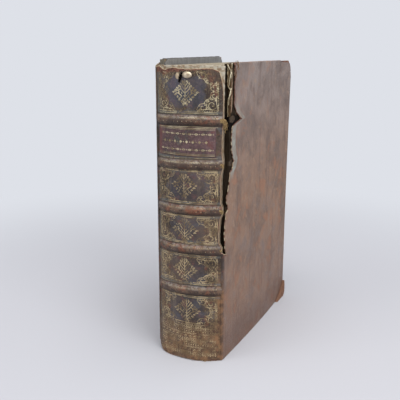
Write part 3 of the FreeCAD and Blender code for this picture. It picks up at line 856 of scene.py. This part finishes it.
# Cover leathers: the skin on each board goes round the head, tail and fore edges and is turned in inside.
# The front one is torn back from the joint, deepest at the first band, and worn through at two corners.
board_width = 129.0
cover_thickness = 3.9
half = 24.3
turn_in_width = 12.0
hinge_y = 0.5
rear_splay = math.radians(6.3)
tear_foot = 76
tear_room = 38  # the width of board next to the joint that the torn line is drawn into
front_tear = [
    (0, 3.2), (75.5, 3.2), (77.0, 3.0), (78.3, 2.0), (79.8, 1.4), (81.5, 1.0), (83.6, 0.6), (86.1, 0.1),
    (89.1, 0.2), (91.6, 0.1), (94.1, 0.4), (96.7, 0.4), (98.6, 0.8), (100.5, 1.6), (104.0, 1.8),
    (105.2, 3.6), (105.9, 5.2), (107.6, 4.9), (108.8, 4.7), (110.6, 3.0), (112.6, 2.5), (115.0, 3.3),
    (116.8, 4.6), (120.0, 5.4), (123.2, 6.8), (126.9, 7.3), (130.5, 8.4), (131.5, 11.2), (134.4, 12.5),
    (137.2, 14.0), (140.4, 12.0), (143.8, 10.8), (148.5, 9.8), (151.7, 9.8), (154.3, 10.1), (157.5, 10.5),
    (159.7, 11.3), (160.7, 15.0), (161.8, 19.9), (162.9, 23.4), (163.3, 26.8), (165.4, 22.8),
    (168.2, 18.2), (171.0, 15.4), (173.7, 13.7), (176.5, 14.3), (179.5, 14.4), (184.4, 13.9),
    (190.4, 14.5), (194.3, 13.9), (198.4, 13.7), (203.0, 13.9),
]
raw_band = [(76, 0.2), (130, 0.3), (166, 0.3), (196, 0.3), (200, 0.9)]
torn_band = [(76, 0.9), (130, 1.2), (165, 1.0), (180, 1.6), (200, 4.5)]
lip_band = [(124, 0), (130, 1), (158, 1), (163, 0.7), (170, 0.7), (176, 0)]
front_worn_head = [
    (103, 201.5), (105, 199.6), (110, 199.4), (113, 199.1), (117, 198.9), (121, 198.3), (123.4, 197.7),
    (124.5, 196.9), (126.0, 195.3), (126.8, 193.4), (127.6, 191.4), (127.9, 189), (128.8, 186),
    (130.5, 185.5), (130.5, 201.5),
]
front_worn_tail = [
    (130.5, 14.5), (128.4, 13.5), (127.4, 11.4), (126.0, 9.6), (123.8, 7.0), (121.0, 4.8), (117.6, 3.2),
    (114.0, 1.9), (109.0, 0.5), (108.0, -1.5), (130.5, -1.5),
]
rear_worn_head = [
    (117.5, 203.9), (122.5, 201.6), (126.8, 199.2), (129.0, 195.5), (130.5, 193.0), (130.5, 203.9),
]

noise.seed_set(7)  # without it noise_vector takes its seed from the clock


def wear_away(bm, losses, room):
    """Takes away the cover's faces inside each outline and draws the ragged rim onto it."""
    for outline in losses:
        gone = [f for f in bm.faces if inside(outline, f.calc_center_median().y, f.calc_center_median().z)]
        bmesh.ops.delete(bm, geom=gone, context="FACES")
    rim = {v for e in bm.edges if e.is_boundary for v in e.verts if v.co.y > 60}
    for vert in rim:
        for outline in losses:
            far, a, b = nearest(outline, vert.co.y, vert.co.z)
            if far < room:
                wobble = noise.noise_vector(vert.co * 1.1) * 0.22
                vert.co.y = a + wobble.x
                vert.co.z = b + wobble.y
                break


def make_cover(name, height, losses, rear):
    """The skin of one cover, in book millimetres with the outer face towards +X, then put in place."""
    bm = bmesh.new()
    y0 = 3.5 if rear else 0.0
    add_box(bm, (half - cover_thickness, y0, 0), (half, board_width, height))
    gone = [f for f in bm.faces if f.normal.y < -0.9]
    bmesh.ops.delete(bm, geom=gone, context="FACES_ONLY")
    inner = [f for f in bm.faces if f.normal.x < -0.9]
    bmesh.ops.inset_region(bm, faces=inner, thickness=turn_in_width, use_boundary=True, use_even_offset=True)
    bmesh.ops.delete(bm, geom=inner, context="FACES_ONLY")
    ridges = [e for e in bm.edges if len(e.link_faces) == 2 and e.calc_face_angle() > 1.0]
    ridges = [e for e in ridges if (e.verts[0].co.y + e.verts[1].co.y) / 2 > y0 + 1]
    bmesh.ops.bevel(bm, geom=ridges, offset=0.55, segments=3, profile=0.5, affect="EDGES", material=-1)
    cuts = [(1, y0 + 0.6 * (i + 1)) for i in range(58)] + [(1, tear_room + 3.2 * i) for i in range(22)]
    cuts += [(1, 106 + 1.1 * i) for i in range(20)]
    cuts += [(2, 0.9 * i + 0.5) for i in range(int(height / 0.9))]
    if not rear:
        cuts += [(2, 158.35 + 0.9 * i) for i in range(14)]
    for axis, spot in cuts:
        slice_at(bm, axis, spot, 0.0001)
    turned_over = [(f, f.calc_center_median()) for f in bm.faces if f.normal.x < -0.9]
    inner_edge = turn_in_width - 0.1
    no_turn_in = [
        f for f, spot in turned_over
        if spot.y < y0 + inner_edge and inner_edge < spot.z < height - inner_edge
    ]
    bmesh.ops.delete(bm, geom=no_turn_in, context="FACES")
    layer = add_marks(bm)
    wear_away(bm, losses, 0.75)
    for vert in bm.verts:
        mark = dict.fromkeys(marks, 0.0)
        x, y, z = vert.co
        inward = x < half - cover_thickness + 0.3
        from_tear = 99.0
        if not rear:
            tear = follow(front_tear, z)
            tear += (0.3 * shake(0, z, 0.7, 3.3) + 0.16 * shake(0, z, 2.6, 1.7)) * (z > tear_foot)
            from_tear = y * max(0.0, tear_room - tear) / tear_room if y < tear_room else y - tear
            if y < tear_room:
                y = tear + y * (tear_room - tear) / tear_room
                vert.co.y = y
        away = min([nearest(o, y, z)[0] for o in losses] or [9.0])
        outside = x > half - 1.2
        if z > tear_foot and not rear and outside:
            raw = max(0.0, 0.95 - from_tear / follow(raw_band, z))
            mark["raw"] = raw * follow([(158, 0.8), (168, 0.45)], z) * (0.75 + 1.1 * shake(0, z, 0.5, 5.0))
            mark["torn"] = max(0.0, 0.95 - from_tear / follow(torn_band, z))
            in_lip = follow(lip_band, z)
            mark["lip"] = in_lip * clamp((7.6 - from_tear) / 1.2)
            mark["rubbed"] = in_lip * 0.9 * near(from_tear - 9.0, 1.2)
        mark["torn"] = max(mark["torn"], 1 - away / 1.9 if outside else 0.0)
        rim = min(z, height - z, board_width - y)
        mark["rubbed"] = max(mark["rubbed"], (1 - rim / 1.5) * 0.55 * outside)
        # A pale line along the foot of the cover: a worn edge, with a painted highlight on its rounded turn.
        if z < 2.5 and outside:
            mark["raw"] = max(mark["raw"], 0.62 * near(z - 0.5, 0.6))
        if inward or (rear and not outside and z > height - 1):
            mark["turned"] = 0.9
            # Painted shade along the rear cover's top edge and at its joint and fore-edge ends.
            if rear and (height - z < 0.35 or y < 4.6 or y > board_width - 2):
                mark["painted_shade"] = 0.7
        # Painted shade along the top edge and fore corner of the rear cover's outside.
        elif rear and z > height - 6 and (z > height - 0.7 or y > board_width - 6):
            mark["painted_shade"] = 0.8
        paint(vert, layer, mark)
        warp = shake(y, z, 0.028, 1.3) * 0.12 + shake(y, z, 0.3, 4.2) * 0.05
        soft = noise.noise(Vector((x * 0.3, y * 0.16, z * 0.16)))
        curl = 0.55 * max(0.0, 1 - from_tear / 2.6) ** 2 * (0.6 + shake(0, z, 0.5, 2.2)) if z > 80 else 0.0
        vert.co.x += (warp * 0.5 + max(0.0, curl)) * outside
        if rear and z > height - 5:
            vert.co.z -= 3.2 * max(0.0, (9.5 - y) / 6)
        if not rear:
            vert.co.x += 1.1 * (y / board_width) ** 2 * max(0.0, (z - 60) / 140) ** 1.5
            vert.co.x += 1.1 * math.sin(math.pi * min(1.0, y / 115)) * max(0.0, (36 - z) / 36)
        if z > height - 1.0:
            vert.co.z -= 0.12 + 0.2 * soft
        if y > board_width - 1.0:
            vert.co.y -= 0.1 + 0.16 * soft
        vert.co.z = max(vert.co.z, 0.02)
    for vert in bm.verts:
        if rear:
            vert.co.x = -vert.co.x
        vert.co = place(*vert.co)
    if rear:
        bmesh.ops.reverse_faces(bm, faces=bm.faces)
        pivot = place(-half, hinge_y, 0)
        bmesh.ops.rotate(bm, verts=bm.verts, cent=pivot, matrix=Matrix.Rotation(rear_splay, 3, "Z"))
    obj = new_piece(name, bm, calf)
    thicken(obj, 0.6)
    return obj


front_cover = make_cover("front_cover_calf", 200.0, [front_worn_head, front_worn_tail], False)
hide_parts("front_cover_leather")
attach(front_cover, "front_cover")
rear_cover = make_cover("rear_cover_calf", 202.4, [rear_worn_head], True)
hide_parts("rear_cover_leather")
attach(rear_cover, "rear_cover")

# Joint leathers: the strips of the same skin that cover the joints between the back and the boards.
# The rear one is torn at its top; of the front one only the part below the fourth band is left.
front_profile = [
    (23.2, -2.35), (23.65, -1.95), (24.0, -1.3), (24.2, -0.5), (24.32, 0.5), (24.36, 1.6), (24.36, 2.9),
    (24.33, 4.2),
]
rear_profile = [
    (23.2, -2.35), (23.95, -1.95), (24.6, -1.35), (24.95, -0.6), (25.0, 0.5), (24.9, 1.7), (24.8, 2.9),
    (24.74, 4.2),
]
front_top = [(-2.4, 1.0), (0.0, -0.8), (2.0, -1.4), (4.2, -1.8)]
rear_top = [(-2.4, -1.2), (0.5, 0.0), (4.2, 1.4)]
for name, side, body, foot, head, profile, top_line in (
    ("front_joint_leather", 1, "front_cover", 0.4, 77.4, front_profile, front_top),
    ("rear_joint_leather", -1, "rear_cover", 5.6, 198.4, rear_profile, rear_top),
):
    bm = new_sheet(len(profile) - 1, int((head - foot) / 0.9))
    layer = add_marks(bm)
    for vert in bm.verts:
        mark = {}
        step = round((vert.co.x + 0.5) * (len(profile) - 1))
        x, y = profile[step]
        top = head + follow(top_line, y) + 0.3 * shake(step, 0, 0.9, 2.0)
        z = foot + (vert.co.y + 0.5) * (top - foot)
        dent = shake(step * 0.8, z * 0.35, 1.0, 2.2) * 0.1
        mark["torn"] = max(0.0, 1 - (top - z) / 1.8)
        mark["raw"] = max(0.0, 0.9 - (top - z) / 0.7)
        if side > 0:
            mark["tan"] = clamp((66 - z) / 16)
            rubbed = follow([(14, 0.4), (18, 1), (50, 1), (70, 0.2)], z)
            mark["rubbed"] = 0.75 * near(y - 1.2, 1.4) * rubbed
        # Painted shade at the rear joint's torn top.
        elif z > 192:
            mark["painted_shade"] = 0.5 * min(1.0, (z - 192) / 4)
        paint(vert, layer, mark)
        vert.co = place(side * (x + dent * (0 < step < 6)), y, z)
    face_out(bm, Vector((side, 0, 0)))
    strip = new_piece(name + "_strip", bm, calf)
    thicken(strip, 0.6)
    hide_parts(name)
    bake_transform(strip)

# Loose threads: a few threads and a tuft of torn skin hang out at the foot of the back and lie on the table.
thread_runs = (
    [(11.0, 0.0, 1.2), (12.0, 0.9, 0.8), (13.0, 1.8, 0.5), (14.2, 2.3, 0.45)],
    [(14.0, 0.1, 1.0), (14.6, 1.0, 0.6), (14.4, 2.0, 0.5), (13.6, 2.4, 0.45)],
    [(16.5, 0.0, 1.4), (17.2, 0.8, 0.8), (17.8, 1.6, 0.5)],
    [(8.5, 0.1, 0.9), (9.2, 1.0, 0.6), (10.4, 1.5, 0.5)],
    [(-20.5, 0.0, 4.2), (-21.2, 0.6, 3.2), (-21.4, 0.9, 2.2)],
)
loose_threads = [
    [(*on_circle(leather_radius + out, x / leather_radius), z) for x, out, z in run] for run in thread_runs
]
threads = strands("loose_tail_threads", loose_threads, 0.3, cord_material, 3)
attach(threads, "book_block")

# Title label: a thin piece of dark red goatskin glued in the second panel, tooled with plain gilt ornament.
label_left, label_right, label_foot, label_head = -22.0, 20.5, 141.6, 160.6
label_material, tree, shader = new_material("dark_red_goatskin")
flat = position(tree)
patch = clouds(flat, 110, 6.0, 0.62, 0.4)
pores = clouds(flat, 1000, 4.0, 0.7)
red = mix(between(patch, 0.4, 0.6), (100, 74, 76), (74, 50, 50))
red = washed(red, [
    (patch, 0.56, 0.66, 0.0, 0.8, (74, 74, 70)),
    (patch, 0.36, 0.43, 0.8, 0.0, (100, 56, 52)),
    (pores, 0.53, 0.68, 0.0, 0.75, (134, 108, 98)),
    (pores, 0.34, 0.45, 0.7, 0.0, (48, 36, 36)),
])
sideways = apart(flat)[0]
red = mix(between(sideways, -0.0145, -0.0105, 0.6, 0.0), red, (108, 52, 46))
coat(shader, red, 0.5)
relief(shader, pores, 0.0003)
bm = new_sheet(60, 30)
for vert in bm.verts:
    x = label_left + (vert.co.x + 0.5) * (label_right - label_left)
    z = label_foot + (vert.co.y + 0.5) * (label_head - label_foot)
    edge = min(0.5 - abs(vert.co.x), 0.5 - abs(vert.co.y))
    ragged = shake(x, z, 0.8, 0.5) * 0.25 if edge < 0.001 else 0.0
    vert.co = on_back(x + ragged, z + ragged, 0.3 if edge > 0.001 else 0.12)
face_out(bm, Vector((0, -1, 0)))
label = new_piece("title_label_skin", bm, label_material)
thicken(label, 0.12)
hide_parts("title_label")
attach(label, "book_block")

# Gilt tooling: gold leaf pressed into the leather with hot brass tools: rules beside the bands, a corner
# scroll in each corner of a panel, a flower in its middle, and rows of small tools on the bands and at
# the tail.
gilt, tree, shader = new_material("worn_gilding")
flat = position(tree)
wear = clouds(flat, 700, 5.0, 0.7)
blotch = clouds(flat, 150, 4.0, 0.6)
worn_off = between(sums("ADD", wear, times(blotch, 0.5)), 0.84, 0.99)
height = apart(flat)[2]
above_label = between(height, 0.1612, 0.1616)
under_label = between(height, 0.1404, 0.1408, 1.0, 0.0)
worn_off = times(worn_off, sums("ADD", sums("ADD", above_label, under_label), 0.25))
bright_gold = mix(between(blotch, 0.4, 0.6), (206, 192, 156), (140, 122, 88))
brown_gold = mix(between(blotch, 0.4, 0.6), (194, 173, 134), (122, 102, 72))
gold = mix(between(height, 0.1350, 0.1380, 1.0, 0.0), bright_gold, brown_gold)
gold = mix(worn_off, gold, (84, 64, 46))
tree.links.new(between(worn_off, 0.0, 1.0, 0.35, 0.0), shader.inputs["Metallic"])
coat(shader, gold, 0.5)

random.seed(11)
bm = bmesh.new()


def stroke(points, width):
    """A gilt line pressed through a few points, a little thinner towards its ends."""
    spans = len(points) - 1
    made = bmesh.ops.create_grid(bm, x_segments=spans * 2, y_segments=1, size=0.5)["verts"]
    for vert in made:
        t, side = (vert.co.x + 0.5) * spans, vert.co.y
        i = min(int(t), spans - 1)
        u = t - i
        a, b = Vector(points[i]), Vector(points[i + 1])
        before = Vector(points[i - 1]) if i > 0 else a * 2 - b
        after = Vector(points[i + 2]) if i + 2 <= spans else b * 2 - a
        rise, bulge, swing = b - before, before * 2 - a * 5 + b * 4 - after, a * 3 - before - b * 3 + after
        spot = 0.5 * (a * 2 + rise * u + bulge * u * u + swing * u**3)
        run = (b - before) * (1 - u) + (after - a) * u
        run.normalize()
        taper = 1 - 0.45 * abs(vert.co.x * 2) ** 3
        vert.co = Vector((spot.x - run.y * side * width * taper, spot.y + run.x * side * width * taper, 0))


def dot(x, z, radius, segments=7):
    """A round dab of gold, or a lozenge when it has four segments."""
    where = Matrix.Translation((x, z, 0))
    bmesh.ops.create_circle(bm, cap_ends=True, segments=segments, radius=radius, matrix=where)


def drawn(lines, x, z, wide, tall, turn=0.0, width=0.38):
    """A small tool: its lines are drawn in a square from -1 to 1, then turned, sized and pressed at x, z."""
    c, s = math.cos(turn), math.sin(turn)
    for line in lines:
        stroke([(x + (a * c - b * s) * wide, z + (a * s + b * c) * tall) for a, b in line], width)


def spiral(x, z, radius, start, turn, width=0.36):
    """A line of gold that winds in from its start angle."""
    points = []
    for k in range(8):
        r = radius * (1 - 0.78 * k / 7)
        points.append((x + r * math.cos(start + turn * k / 7), z + r * math.sin(start + turn * k / 7)))
    stroke(points, width)


vein = [(0.0, 0.0), (0.1, 0.13), (0.2, 0.26), (0.26, 0.42)]
side_leaf = [
    [(0.3, -0.24), (0.5, -0.14), (0.86, 0.02)], [(0.3, 0.3), (0.5, 0.22), (0.86, 0.06)],
    [(0.5, -0.12), (0.58, 0.04), (0.52, 0.2)],
]
curl_places = ((0.6, 0.04, 0.17), (0.4, -0.36, 0.13), (0.44, 0.4, 0.12))
rim_places = (
    (1.0, 0.02), (0.84, 0.2), (0.66, 0.36), (0.5, 0.54), (0.34, 0.72), (0.18, 0.92), (0.84, -0.18),
    (0.66, -0.38), (0.48, -0.58), (0.3, -0.78), (0.14, -0.98),
)
scallops = (
    [(1.12, 0.05), (0.96, 0.36), (0.74, 0.42), (0.6, 0.62), (0.4, 0.7), (0.36, 0.98), (0.05, 1.14)],
    [(0.02, 0.02), (0.1, 0.55), (0.04, 1.1)], [(0.02, 0.02), (0.55, 0.1), (1.1, 0.04)],
)
leaf_places = ((0.54, 0.54), (0.64, 0.34), (0.36, 0.66), (0.56, 0.14), (0.12, 0.6))
small_leaf = [[(-0.9, -0.6), (-0.2, 0.5), (0.9, 0.6)], [(-0.9, -0.6), (0.3, -0.5), (0.9, 0.6)]]


def flower(x, z, wide, tall):
    """The middle tool: a leafy lozenge of a stem, paired veins, curls and a rim of small leaves."""
    stroke([(x, z - tall * 1.1), (x, z - tall * 0.3), (x, z + tall * 0.4), (x, z + tall * 1.1)], 0.5)
    for side in (-1, 1):
        for k in range(6):
            low = -0.98 + 0.3 * k
            reach = 1.35 - abs(low + 0.2) * 0.6
            line = [(side * p * reach, low + q) for p, q in vein]
            drawn([line], x, z, wide, tall, 0.0, 0.44)
        for p, q, r in curl_places:
            start = 1.0 if side > 0 else 2.1
            spiral(x + side * p * wide, z + q * tall, r * wide, start, 4.6 * side, 0.42)
        drawn([[(side * p, q) for p, q in line] for line in side_leaf], x, z, wide, tall, 0.0, 0.4)
        for k, (p, q) in enumerate(rim_places):
            out, up = side * p * wide, q * tall
            drawn(small_leaf, x + out, z + up, 0.85, 0.75, math.atan2(q, side * p), 0.42)
            if k % 2 == 0:
                dot(x + out * 1.14, z + up * 1.14, 0.3)


def corner(x, z, across, upward, wide, tall):
    """A corner piece: scrolls, leaves and a scalloped edge; across and upward point into the panel."""
    def at(a, b):
        return (x + across * a * wide, z + upward * b * tall)
    turn = across * upward
    first = 3.6 if across > 0 else -0.5
    for a, b, r in ((0.31, 0.32, 0.25), (0.79, 0.21, 0.16), (0.2, 0.84, 0.16)):
        cx, cz = at(a, b)
        spiral(cx, cz, r * wide, first, turn * (7.5 if r > 0.2 else 5.0), 0.42)
        for k in range(5):
            angle = k * 1.26 + a * 3
            reaches = [(n, r * wide * q) for n, q in enumerate((0.95, 1.2, 1.45))]
            ray = [(cx + math.cos(angle) * q, cz + math.sin(angle + 0.25 * n) * q) for n, q in reaches]
            stroke(ray, 0.33)
    for line in scallops:
        stroke([at(a, b) for a, b in line], 0.36)
    for a, b in leaf_places:
        cx, cz = at(a, b)
        drawn(small_leaf, cx, cz, 0.95, 0.95, math.atan2(upward, across) + (a - b) * 1.2, 0.38)
    for k in range(9):
        t = 0.06 + k * 0.125
        dot(*at(t, -0.03), 0.27)
        dot(*at(-0.02, t), 0.27)
        dot(*at(t * 0.96 + 0.05, 1.12 - t * 1.02 + 0.1 * math.sin(t * 9)), 0.24)


def rule(x0, x1, z, width, bend=None):
    """A straight gilt line across the back, or one that follows a band."""
    steps = 24
    points = []
    for k in range(steps + 1):
        x = x0 + (x1 - x0) * k / steps
        points.append((x, z + (follow(bend, x) if bend else 0.0)))
    stroke(points, width)


left_end, right_end = -21.8, 21.6
panels = [
    (196.0, 169.6, (0.4, 181.9), 8.1, 7.2), (132.2, 111.4, (-0.8, 122.6), 8.3, 7.4),
    (101.6, 84.0, (-0.5, 92.6), 8.4, 7.6), (74.6, 56.0, (-0.6, 65.0), 8.0, 7.4),
    (45.8, 26.6, (0.8, 36.0), 8.4, 7.4),
]
for i, (top, foot, middle, wide, tall) in enumerate(panels):
    rule(left_end, right_end, foot + 0.35, 0.45)
    rule(left_end, right_end, foot - 0.6, 0.28)
    if i:
        rule(left_end, right_end, top - 0.2, 0.45)
        rule(left_end, right_end, top + 0.7, 0.28)
    flower(middle[0], middle[1], wide, tall)
    middle_line = (0.3, 0.2, 0.1, 0.2, 0.4)[i]
    reach = (top - foot) / 2 - 1.0
    for across in (-1, 1):
        for upward in (-1, 1):
            x, z = middle_line - across * 21.4, (top + foot) / 2 - upward * reach
            corner(x, z, across, upward, 12.2, min(11.5, reach * 1.02))
    for x in (left_end, right_end):
        stroke([(x, foot + 0.4 + (top - foot - 0.8) * k / 8) for k in range(9)], 0.4)
for row, z in enumerate((23.6, 20.4, 17.2, 14.0, 10.8, 7.6, 4.4)):
    rule(left_end + 3.5 * (row > 4), right_end, z + 1.6, 0.3)
    for k in range(26):
        x = left_end + 0.8 + (right_end - left_end - 1.6) * k / 25
        if row % 3 == 0:
            drawn(small_leaf, x, z, 0.75, 1.1, 1.1 if k % 2 else 2.0, 0.38)
            dot(x, z + 0.9, 0.22)
        elif row % 3 == 1:
            dot(x, z + 0.3, 0.46)
            stroke([(x - 0.7, z - 0.7), (x, z - 1.1), (x + 0.7, z - 0.7)], 0.3)
        else:
            spiral(x, z, 0.85, 1.2, 4.4 if k % 2 else -4.4, 0.34)
for line in band_lines:
    for side in (-4.1, 4.3):
        rule(left_end, right_end, side, 0.3, line)
    for k in range(44):
        x = left_end + k
        z = follow(line, x) + 1.7
        stroke([(x, z - 0.5), (x + 0.45, z + 0.45)], 0.34)
        if k % 3 == 0:
            dot(x, z - 2.3, 0.26)
for row, z in enumerate((156.0, 151.0, 146.0)):
    for k in range(9):
        x = -0.7 + (k - 4) * 4.3
        if row == 1 and k < 8:
            dot(x + 2.15, z, 1.0, 4)
            dot(x, z, 0.34)
        elif row != 1:
            for bow in (0.45, -0.45):
                stroke([(x - 1.2, z), (x, z + bow), (x + 1.2, z)], 0.4)
            dot(x + 2.15, z, 0.34)
for z in (142.5, 159.7):
    rule(label_left + 0.6, label_right - 0.6, z, 0.42)
    rule(label_left + 0.6, label_right - 0.6, z + (0.8 if z < 150 else -0.8), 0.24)
pin_x, pin_z = 1.9, 192.8
gone = []
for face in bm.faces:
    x, z, _ = face.calc_center_median()
    low, high, left, right = leather_edges(x, z)
    on_label = label_foot < z < label_head
    off = z > high - 1.0 or z < low + 1.0 or x > right - 1.2 or x < left + 0.8 or (x > 15.5 and z > 188)
    under_head = z > high - follow([(-23, 4.2), (-8, 3.4), (2, 1.5), (23, 1.2)], x) and random.random() < 0.7
    by_pin = math.hypot((x - pin_x) / 4.2, (z - pin_z) / 3.0) < 1 or inside(slit, x, z)
    thin = shake(x, z, 0.13, 9.0) > 0.22 and random.random() < 0.45
    lost = 0.0 if on_label else 0.05
    if off or under_head or by_pin or (thin and not on_label) or random.random() < lost:
        gone.append(face)
bmesh.ops.delete(bm, geom=gone, context="FACES")
for vert in bm.verts:
    x, z = vert.co.x, vert.co.y
    on_label = label_foot - 0.3 < z < label_head + 0.3 and label_left - 0.2 < x < label_right + 0.2
    vert.co = on_back(x, z, 0.36 if on_label else 0.05)
face_forward(bm)
tooling = new_piece("gilt_tooling", bm, gilt, smooth=False)
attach(tooling, "book_block")

# Pin: a small domed head pushed into the spine under the head, pale with age.
pin_material, tree, shader = new_material("pale_pin")
dull = clouds(position(tree), 500, 4.0, 0.6)
pale = mix(between(dull, 0.35, 0.7), (214, 200, 176), (176, 156, 126))
coat(shader, pale, 0.28)
shader.inputs["Metallic"].default_value = 0.5
dress(("head_tack",), pin_material)

# Pastedowns: combed marbled paper pasted inside each board over the turned-in leather.
marbled, tree, shader = new_material("marbled_paper")
warp = clouds(position(tree), 45, 3.0, 0.5)
comb = stripes(position(tree), "Z", 42, 9.0, 3.0, 1.6)
veins = stripes(position(tree, (1, 1, 0.6)), "Y", 95, 14.0)
sheet = mix(between(comb, 0.25, 0.75), (92, 100, 104), (132, 128, 112))
sheet = washed(sheet, [
    (veins, 0.6, 0.9, 0.0, 0.8, (120, 72, 58)),
    (warp, 0.55, 0.8, 0.0, 0.4, (70, 66, 60)),
])
coat(shader, sheet, 0.7)
dress(("front_pastedown", "rear_pastedown"), marbled)

# Studio: a pale sweep of paper, soft lamps above and to the sides, and the camera at the photograph's place.
# Away from the book the sweep fades into the pale wall behind it.
sweep_material, tree, shader = new_material("pale_sweep")
shader.inputs["Base Color"].default_value = srgb(198, 198, 203)
shader.inputs["Roughness"].default_value = 0.95
shader.inputs["Specular IOR Level"].default_value = 0.1
where = position(tree)
distance = put(tree, "ShaderNodeVectorMath", {0: where}, operation="LENGTH").outputs["Value"]
faded = between(distance, 0.15, 0.5)
wall_light = put(tree, "ShaderNodeEmission", {"Color": srgb(222, 225, 232), "Strength": 1.0})
shown = times(put(tree, "ShaderNodeLightPath", {}).outputs["Is Camera Ray"], faded)
blended = put(tree, "ShaderNodeMixShader", {0: shown, 1: shader.outputs[0], 2: wall_light.outputs[0]})
tree.links.new(blended.outputs[0], tree.nodes["Material Output"].inputs["Surface"])
bm = new_sheet(1, 1, 6.0)
floor = new_piece("floor", bm, sweep_material)

world = bpy.data.worlds.new("studio")
bpy.context.scene.world = world
world.use_nodes = True
sky = world.node_tree
by_camera = put(sky, "ShaderNodeLightPath", {}).outputs["Is Camera Ray"]
lit = put(sky, "ShaderNodeBackground", {"Color": srgb(226, 229, 236), "Strength": 0.5})
seen_sky = put(sky, "ShaderNodeBackground", {"Color": srgb(222, 225, 232), "Strength": 1.0})
choice = put(sky, "ShaderNodeMixShader", {0: by_camera, 1: lit.outputs[0], 2: seen_sky.outputs[0]})
sky.links.new(choice.outputs[0], sky.nodes["World Output"].inputs["Surface"])


def lamp(name, spot, aim, size, power, colour=(1, 1, 1)):
    """A square soft lamp that looks at a point; all in metres."""
    light = bpy.data.lights.new(name, "AREA")
    light.shape = "SQUARE"
    light.size = size
    light.energy = power
    light.color = colour
    obj = new_object(name, light)
    obj.location = spot
    obj.rotation_euler = (Vector(aim) - Vector(spot)).to_track_quat("-Z", "Y").to_euler()


lamp("top_lamp", (0.2, -0.2, 1.3), (0, 0, 0.1), 1.0, 13)
lamp("right_lamp", (1.2, -0.7, 0.8), (0, 0, 0.1), 0.9, 9)
lamp("left_lamp", (-0.9, -1.1, 0.7), (0, 0, 0.1), 0.9, 5)

lens = bpy.data.cameras.new("camera")
lens.sensor_width = 36.0
picture_width, focal_pixels = 400, 607.6
lens.lens = lens.sensor_width * focal_pixels / picture_width
camera = new_object("camera", lens)
tilt_down, turned_left = 13.94, 25.81
camera.location = place(175.68, -349.47, 208.02)
camera.rotation_euler = (math.radians(90 - tilt_down), 0, math.radians(turned_left))
bpy.context.scene.camera = camera
bpy.context.scene.view_settings.view_transform = "Standard"
